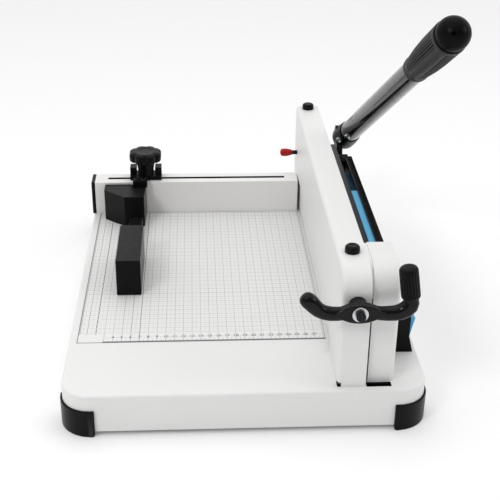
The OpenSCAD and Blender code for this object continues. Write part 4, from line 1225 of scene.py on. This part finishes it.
class CUTTER_OT_crank(bpy.types.Operator):
    """Two-armed crank with its eye and its ribbed grip"""

    bl_idname = "cutter.crank"
    bl_label = "Crank"

    # Stations of each arm: right and up from the axis, half height and half depth
    left_arm = (
        (-58.2, 18.6, 1.6, 1.4),
        (-57.5, 18.0, 4.8, 4.4),
        (-55.8, 16.5, 7.0, 6.6),
        (-53.2, 14.3, 8.2, 7.8),
        (-49.8, 11.4, 8.6, 8.2),
        (-46.0, 7.0, 8.2, 7.8),
        (-41.6, 2.6, 7.7, 7.4),
        (-36.0, -0.6, 7.4, 7.0),
        (-29.0, -2.3, 7.3, 6.8),
        (-22.0, -2.6, 7.3, 6.0),
        (-16.0, -2.0, 7.4, 5.4),
        (-11.0, -1.0, 7.8, 5.0),
        (-6.0, -0.3, 8.0, 5.0),
    )
    right_arm = (
        (6.0, -0.3, 8.0, 5.0),
        (11.0, -1.0, 7.8, 5.0),
        (16.0, -2.0, 7.4, 5.4),
        (22.0, -2.8, 7.3, 6.0),
        (29.0, -3.0, 7.6, 6.8),
        (36.0, -2.8, 7.8, 7.0),
        (42.0, -1.4, 8.2, 7.4),
        (47.2, 1.6, 8.5, 7.8),
        (50.8, 5.8, 8.5, 8.0),
        (52.0, 10.2, 7.8, 7.4),
        (51.6, 13.8, 7.0, 6.8),
        (50.8, 17.4, 6.2, 6.2),
    )

    def execute(self, context):
        axis = joint_point("crank_turn")
        low, high = node_box("crank_lever")
        middle, half = (high.y + low.y) / 2, 6.5
        bm = bmesh.new()
        for arm in (self.left_arm, self.right_arm):
            stations = [
                ((axis.x + x, middle, axis.z + z), tall, deep) for x, z, tall, deep in arm
            ]
            add_sweep(bm, stations, 36, Y_AXIS, square=0.86)
        ring = [(4.6, 0.4), (5.0, 0), (8.8, 0), (9.6, 0.4), (10.0, 1.2), (10.0, 2 * half - 1.2)]
        ring += [(9.6, 2 * half - 0.4), (8.8, 2 * half), (4.6, 2 * half), (4.6, 0.4)]
        add_lathe(bm, ring, along((axis.x, middle - half, axis.z), Y_AXIS), 56)
        finish_piece(bm, "crank_arms", "crank", black_enamel(), ["crank_lever"])
        self.eye(axis, middle - half, middle + 3)
        soften_node("crank_washer", "eye_washer", "crank", zinc_plate(), 0.4)
        soften_node("crank_bolt", "eye_bolt", "crank", black_oxide(), 1.0, 3)
        paint_node("crank_shaft", black_oxide())
        for name in ("front_pinion", "rear_pinion"):
            paint_node(name, ground_steel())
        self.grip(axis, middle)
        return {"FINISHED"}

    def eye(self, axis, front, rear):
        """Eye-shaped boss in the middle, with its edges rounded."""
        half_width, half_height, drop = 27, 10.4, 0.8
        crown = [
            (x, half_height * (1 - (x / half_width) ** 2))
            for x in range(-half_width, half_width + 1, 3)
        ]
        outline = [(axis.x + x, 0, axis.z - drop + z) for x, z in crown]
        outline += [(axis.x + x, 0, axis.z - drop - z) for x, z in crown[-2:0:-1]]
        bm = bmesh.new()
        add_prism(bm, outline, (0, front, 0), (0, rear, 0))
        bevel(bm, sharp_edges(bm, 50), 1.2, 3)
        finish_piece(bm, "crank_eye", "crank", black_enamel())

    def grip(self, axis, middle):
        """Ribbed grip that stands on the right arm."""
        lean = math.radians(-9)
        foot = Matrix.Translation((axis.x + 51, middle, axis.z + 14.5))
        rows = [(0.0, 6.8, 0), (0.6, 8.6, 0), (1.8, 9.6, 0.6), (3.0, 9.9, 1), (18.0, 9.9, 1)]
        rows += [(31.0, 9.8, 1), (33.0, 9.4, 0.8), (34.6, 8.4, 0.3), (35.6, 6.6, 0), (36.0, 3.6, 0)]
        bm = bmesh.new()
        add_ribbed(bm, rows, (0, 0, 0), sizes().crank_ribs, fine=8, depth=0.11, power=0.6)
        bmesh.ops.transform(bm, matrix=foot @ Matrix.Rotation(lean, 4, "Y"), verts=bm.verts)
        finish_piece(bm, "crank_sleeve", "crank", moulded_black(), ["crank_grip"])


class CUTTER_OT_press(bpy.types.Operator):
    """Clamp with its racks"""

    bl_idname = "cutter.press"
    bl_label = "Clamp"

    def execute(self, context):
        soften_node("press_plate", "clamp_beam", "press", white_coat(), 0.8)
        for name in ("front_rack", "rear_rack"):
            paint_node(name, ground_steel())
        return {"FINISHED"}


class CUTTER_OT_guide(bpy.types.Operator):
    """Side guide with its saddle and its lobed knob"""

    bl_idname = "cutter.guide"
    bl_label = "Side guide"

    def execute(self, context):
        for node, piece, width, segments in (
            ("guide_block", "guide_wedge", 1.5, 3),
            ("guide_bar", "guide_arm", 0.6, 2),
            ("guide_stop", "guide_fingers", 1.2, 3),
            ("guide_saddle", "guide_bridge", 0.7, 2),
        ):
            soften_node(node, piece, "guide", moulded_black(), width, segments)
        paint_node("guide_stud", zinc_plate())
        self.screws()
        self.knob()
        return {"FINISHED"}

    def screws(self):
        """Pan heads with a socket."""
        low, high = node_box("guide_screws")
        radius, head = 4.0, 2.6
        shank = high.z - low.z - head
        profile = [(0, -shank), (2, -shank), (2, 0), (radius, 0), (radius, 1.2)]
        profile += [(radius - 0.7, 2.1), (radius - 1.8, head), (1.3, head), (1.2, 1.2), (0, 1.1)]
        bm = bmesh.new()
        for x in (low.x + radius, high.x - radius):
            place = Matrix.Translation((x, (low.y + high.y) / 2, high.z - head))
            add_lathe(bm, profile, place, 32)
        finish_piece(bm, "guide_bolts", "guide", black_oxide(), ["guide_screws"])

    def knob(self):
        """Star knob with a dished top on a waisted neck."""
        low, high = node_box("guide_knob")
        stud = joint_point("guide_knob_turn")
        neck, tall = 21.0, high.z - low.z
        rows = [(0, 10.2, 0), (0.6, 10.9, 0), (9, 11.2, 0), (15, 12.2, 0.1), (18.4, 14.0, 0.3)]
        rows += [(20, 16.6, 0.7), (20.7, 19.0, 0.9), (neck, 20.4, 1), (neck + 1.0, 22.0, 1)]
        rows += [(neck + 2.6, 23.0, 1), (tall - 4.4, 23.2, 1), (tall - 2.4, 22.6, 1)]
        rows += [(tall - 1.0, 20.8, 1), (tall - 0.3, 18.2, 0.9), (tall, 14.0, 0.3)]
        rows += [(tall - 0.5, 10.5, 0), (tall - 1.1, 8.0, 0)]
        foot = Vector((stud.x, stud.y, low.z))
        bm = bmesh.new()
        lobes = sizes().knob_lobes
        add_ribbed(bm, rows, foot, lobes, fine=16, depth=0.13, power=0.8, wave=math.sin)
        knob = finish_piece(
            bm, "star_knob", "guide_knob", moulded_black(), ["guide_knob"]
        )
        _, stud_high = node_box("guide_stud")
        bore_radius, bore_end = 3.05, stud_high.z - low.z + 0.4
        place = Matrix.Translation(foot)
        carve(knob, [round_cutter(place, bore_radius, -PAST, bore_end, 40)])


class CUTTER_OT_lock_pin(bpy.types.Operator):
    """Lock pin with its red knob"""

    bl_idname = "cutter.lock_pin"
    bl_label = "Lock pin"

    def execute(self, context):
        low, high = node_box("pin_knob")
        centre = (low + high) / 2
        end, radius = high.x - low.x, (high.z - low.z) / 2
        crown, socket_radius, socket_depth = 3.6, 3.1, 8.1
        profile = [(0, 0)]
        profile += [
            (radius * math.sin(a) * 0.98, crown * (1 - math.cos(a)))
            for a in (math.radians(15 * i) for i in range(1, 7))
        ]
        profile += [(radius, 5.5), (radius, 9.5), (radius - 0.5, 12), (radius - 1.4, end - 1.2)]
        profile += [(radius - 2.2, end), (socket_radius, end)]
        profile += [(socket_radius, end - socket_depth), (0, end - socket_depth)]
        bm = bmesh.new()
        add_lathe(bm, profile, along((low.x, centre.y, centre.z), X_AXIS), 48)
        finish_piece(bm, "pin_bulb", "pin", red_phenolic(), ["pin_knob"])
        paint_node("pin_rod", black_oxide())
        return {"FINISHED"}


class CUTTER_OT_stage(bpy.types.Operator):
    """Floor, soft light and camera"""

    bl_idname = "cutter.stage"
    bl_label = "Stage"

    def execute(self, context):
        scene = context.scene
        scene.view_settings.view_transform = "Standard"
        self.floor(scene)
        self.light(scene)
        self.camera(scene)
        return {"FINISHED"}

    def floor(self, scene):
        """Plain pale floor that runs on past the view."""
        mesh = bpy.data.meshes.new("floor")
        bm = bmesh.new()
        bmesh.ops.create_grid(bm, x_segments=1, y_segments=1, size=FLOOR_REACH)
        bm.to_mesh(mesh)
        bm.free()
        mesh.materials.append(floor_finish())
        floor = bpy.data.objects.new("floor", mesh)
        scene.collection.objects.link(floor)

    def light(self, scene):
        """Surround that is white above and behind, dim behind the camera, and three soft boxes."""
        world = bpy.data.worlds.new("studio")
        scene.world = world
        world.use_nodes = True
        tree = world.node_tree
        ground = tree.nodes["Background"]
        sight = add_node(tree, "ShaderNodeTexCoord")
        axes = add_node(tree, "ShaderNodeSeparateXYZ", {"Vector": sight.outputs["Generated"]})
        lift = {0: axes.outputs["Z"], 1: 0.7}
        height = add_node(tree, "ShaderNodeMath", lift, operation="MULTIPLY")
        turn = {0: axes.outputs["Y"], 1: height.outputs[0]}
        facing = add_node(tree, "ShaderNodeMath", turn, operation="ADD")
        span = {"From Min": -0.5, "From Max": 0.6, "To Min": 0.25, "To Max": 0.95}
        level = add_node(tree, "ShaderNodeMapRange", {"Value": facing.outputs[0], **span})
        ground.inputs["Color"].default_value = (1, 1, 1, 1)
        tree.links.new(level.outputs["Result"], ground.inputs["Strength"])
        target = Vector((0, 0, 0.1))
        for name, place, size, power in (
            ("overhead", (-0.1, 0.1, 2.2), 2.4, 9.0),
            ("front_left", (-1.3, -1.6, 1.8), 0.6, 15.0),
            ("right", (1.9, -0.6, 1.2), 0.7, 6.0),
        ):
            lamp = bpy.data.lights.new(name, "AREA")
            lamp.size = size
            lamp.energy = power
            holder = bpy.data.objects.new(name, lamp)
            holder.location = place
            aim = target - Vector(place)
            holder.rotation_euler = aim.to_track_quat("-Z", "Y").to_euler()
            scene.collection.objects.link(holder)

    def camera(self, scene):
        """Camera at the photograph's angle."""
        view = scene.cutter_stage
        pitch, yaw, roll = view.pitch, view.yaw, view.roll
        ahead = Vector(
            (math.sin(yaw) * math.cos(pitch), math.cos(yaw) * math.cos(pitch), -math.sin(pitch))
        )
        right = Vector((math.cos(yaw), -math.sin(yaw), 0))
        up = right.cross(ahead)
        turned_right = math.cos(roll) * right + math.sin(roll) * up
        turned_up = math.cos(roll) * up - math.sin(roll) * right
        lens = bpy.data.cameras.new("camera")
        lens.lens = view.lens
        lens.sensor_width = 36.0
        lens.clip_start, lens.clip_end = 0.05, 3 * FLOOR_REACH
        camera = bpy.data.objects.new("camera", lens)
        turn = Matrix((turned_right, turned_up, -ahead)).transposed().to_4x4()
        camera.matrix_world = Matrix.Translation(Vector(view.camera_place)) @ turn
        scene.collection.objects.link(camera)
        scene.camera = camera


class CUTTER_PT_panel(bpy.types.Panel):
    """Operators that dress the cutter"""

    bl_label = "Stack paper cutter"
    bl_idname = "CUTTER_PT_panel"
    bl_space_type = "VIEW_3D"
    bl_region_type = "UI"
    bl_category = "Cutter"

    def draw(self, context):
        for operator in OPERATORS:
            self.layout.operator(operator.bl_idname)


GROUPS = (CutterSizes, CutterColours, CutterStage)
OPERATORS = (
    CUTTER_OT_base,
    CUTTER_OT_table,
    CUTTER_OT_fence,
    CUTTER_OT_tower,
    CUTTER_OT_knife,
    CUTTER_OT_lever,
    CUTTER_OT_crank,
    CUTTER_OT_press,
    CUTTER_OT_guide,
    CUTTER_OT_lock_pin,
    CUTTER_OT_stage,
)


def register():
    for group in GROUPS:
        bpy.utils.register_class(group)
    for operator in OPERATORS:
        bpy.utils.register_class(operator)
    bpy.utils.register_class(CUTTER_PT_panel)
    bpy.types.Scene.cutter_sizes = PointerProperty(type=CutterSizes)
    bpy.types.Scene.cutter_colours = PointerProperty(type=CutterColours)
    bpy.types.Scene.cutter_stage = PointerProperty(type=CutterStage)


def unregister():
    del bpy.types.Scene.cutter_stage
    del bpy.types.Scene.cutter_colours
    del bpy.types.Scene.cutter_sizes
    bpy.utils.unregister_class(CUTTER_PT_panel)
    for operator in reversed(OPERATORS):
        bpy.utils.unregister_class(operator)
    for group in reversed(GROUPS):
        bpy.utils.unregister_class(group)


def main():
    register()
    bpy.ops.cutter.base()
    bpy.ops.cutter.table()
    bpy.ops.cutter.fence()
    bpy.ops.cutter.tower()
    bpy.ops.cutter.knife()
    bpy.ops.cutter.lever()
    bpy.ops.cutter.crank()
    bpy.ops.cutter.press()
    bpy.ops.cutter.guide()
    bpy.ops.cutter.lock_pin()
    bpy.ops.cutter.stage()


if __name__ == "__main__":
    main()
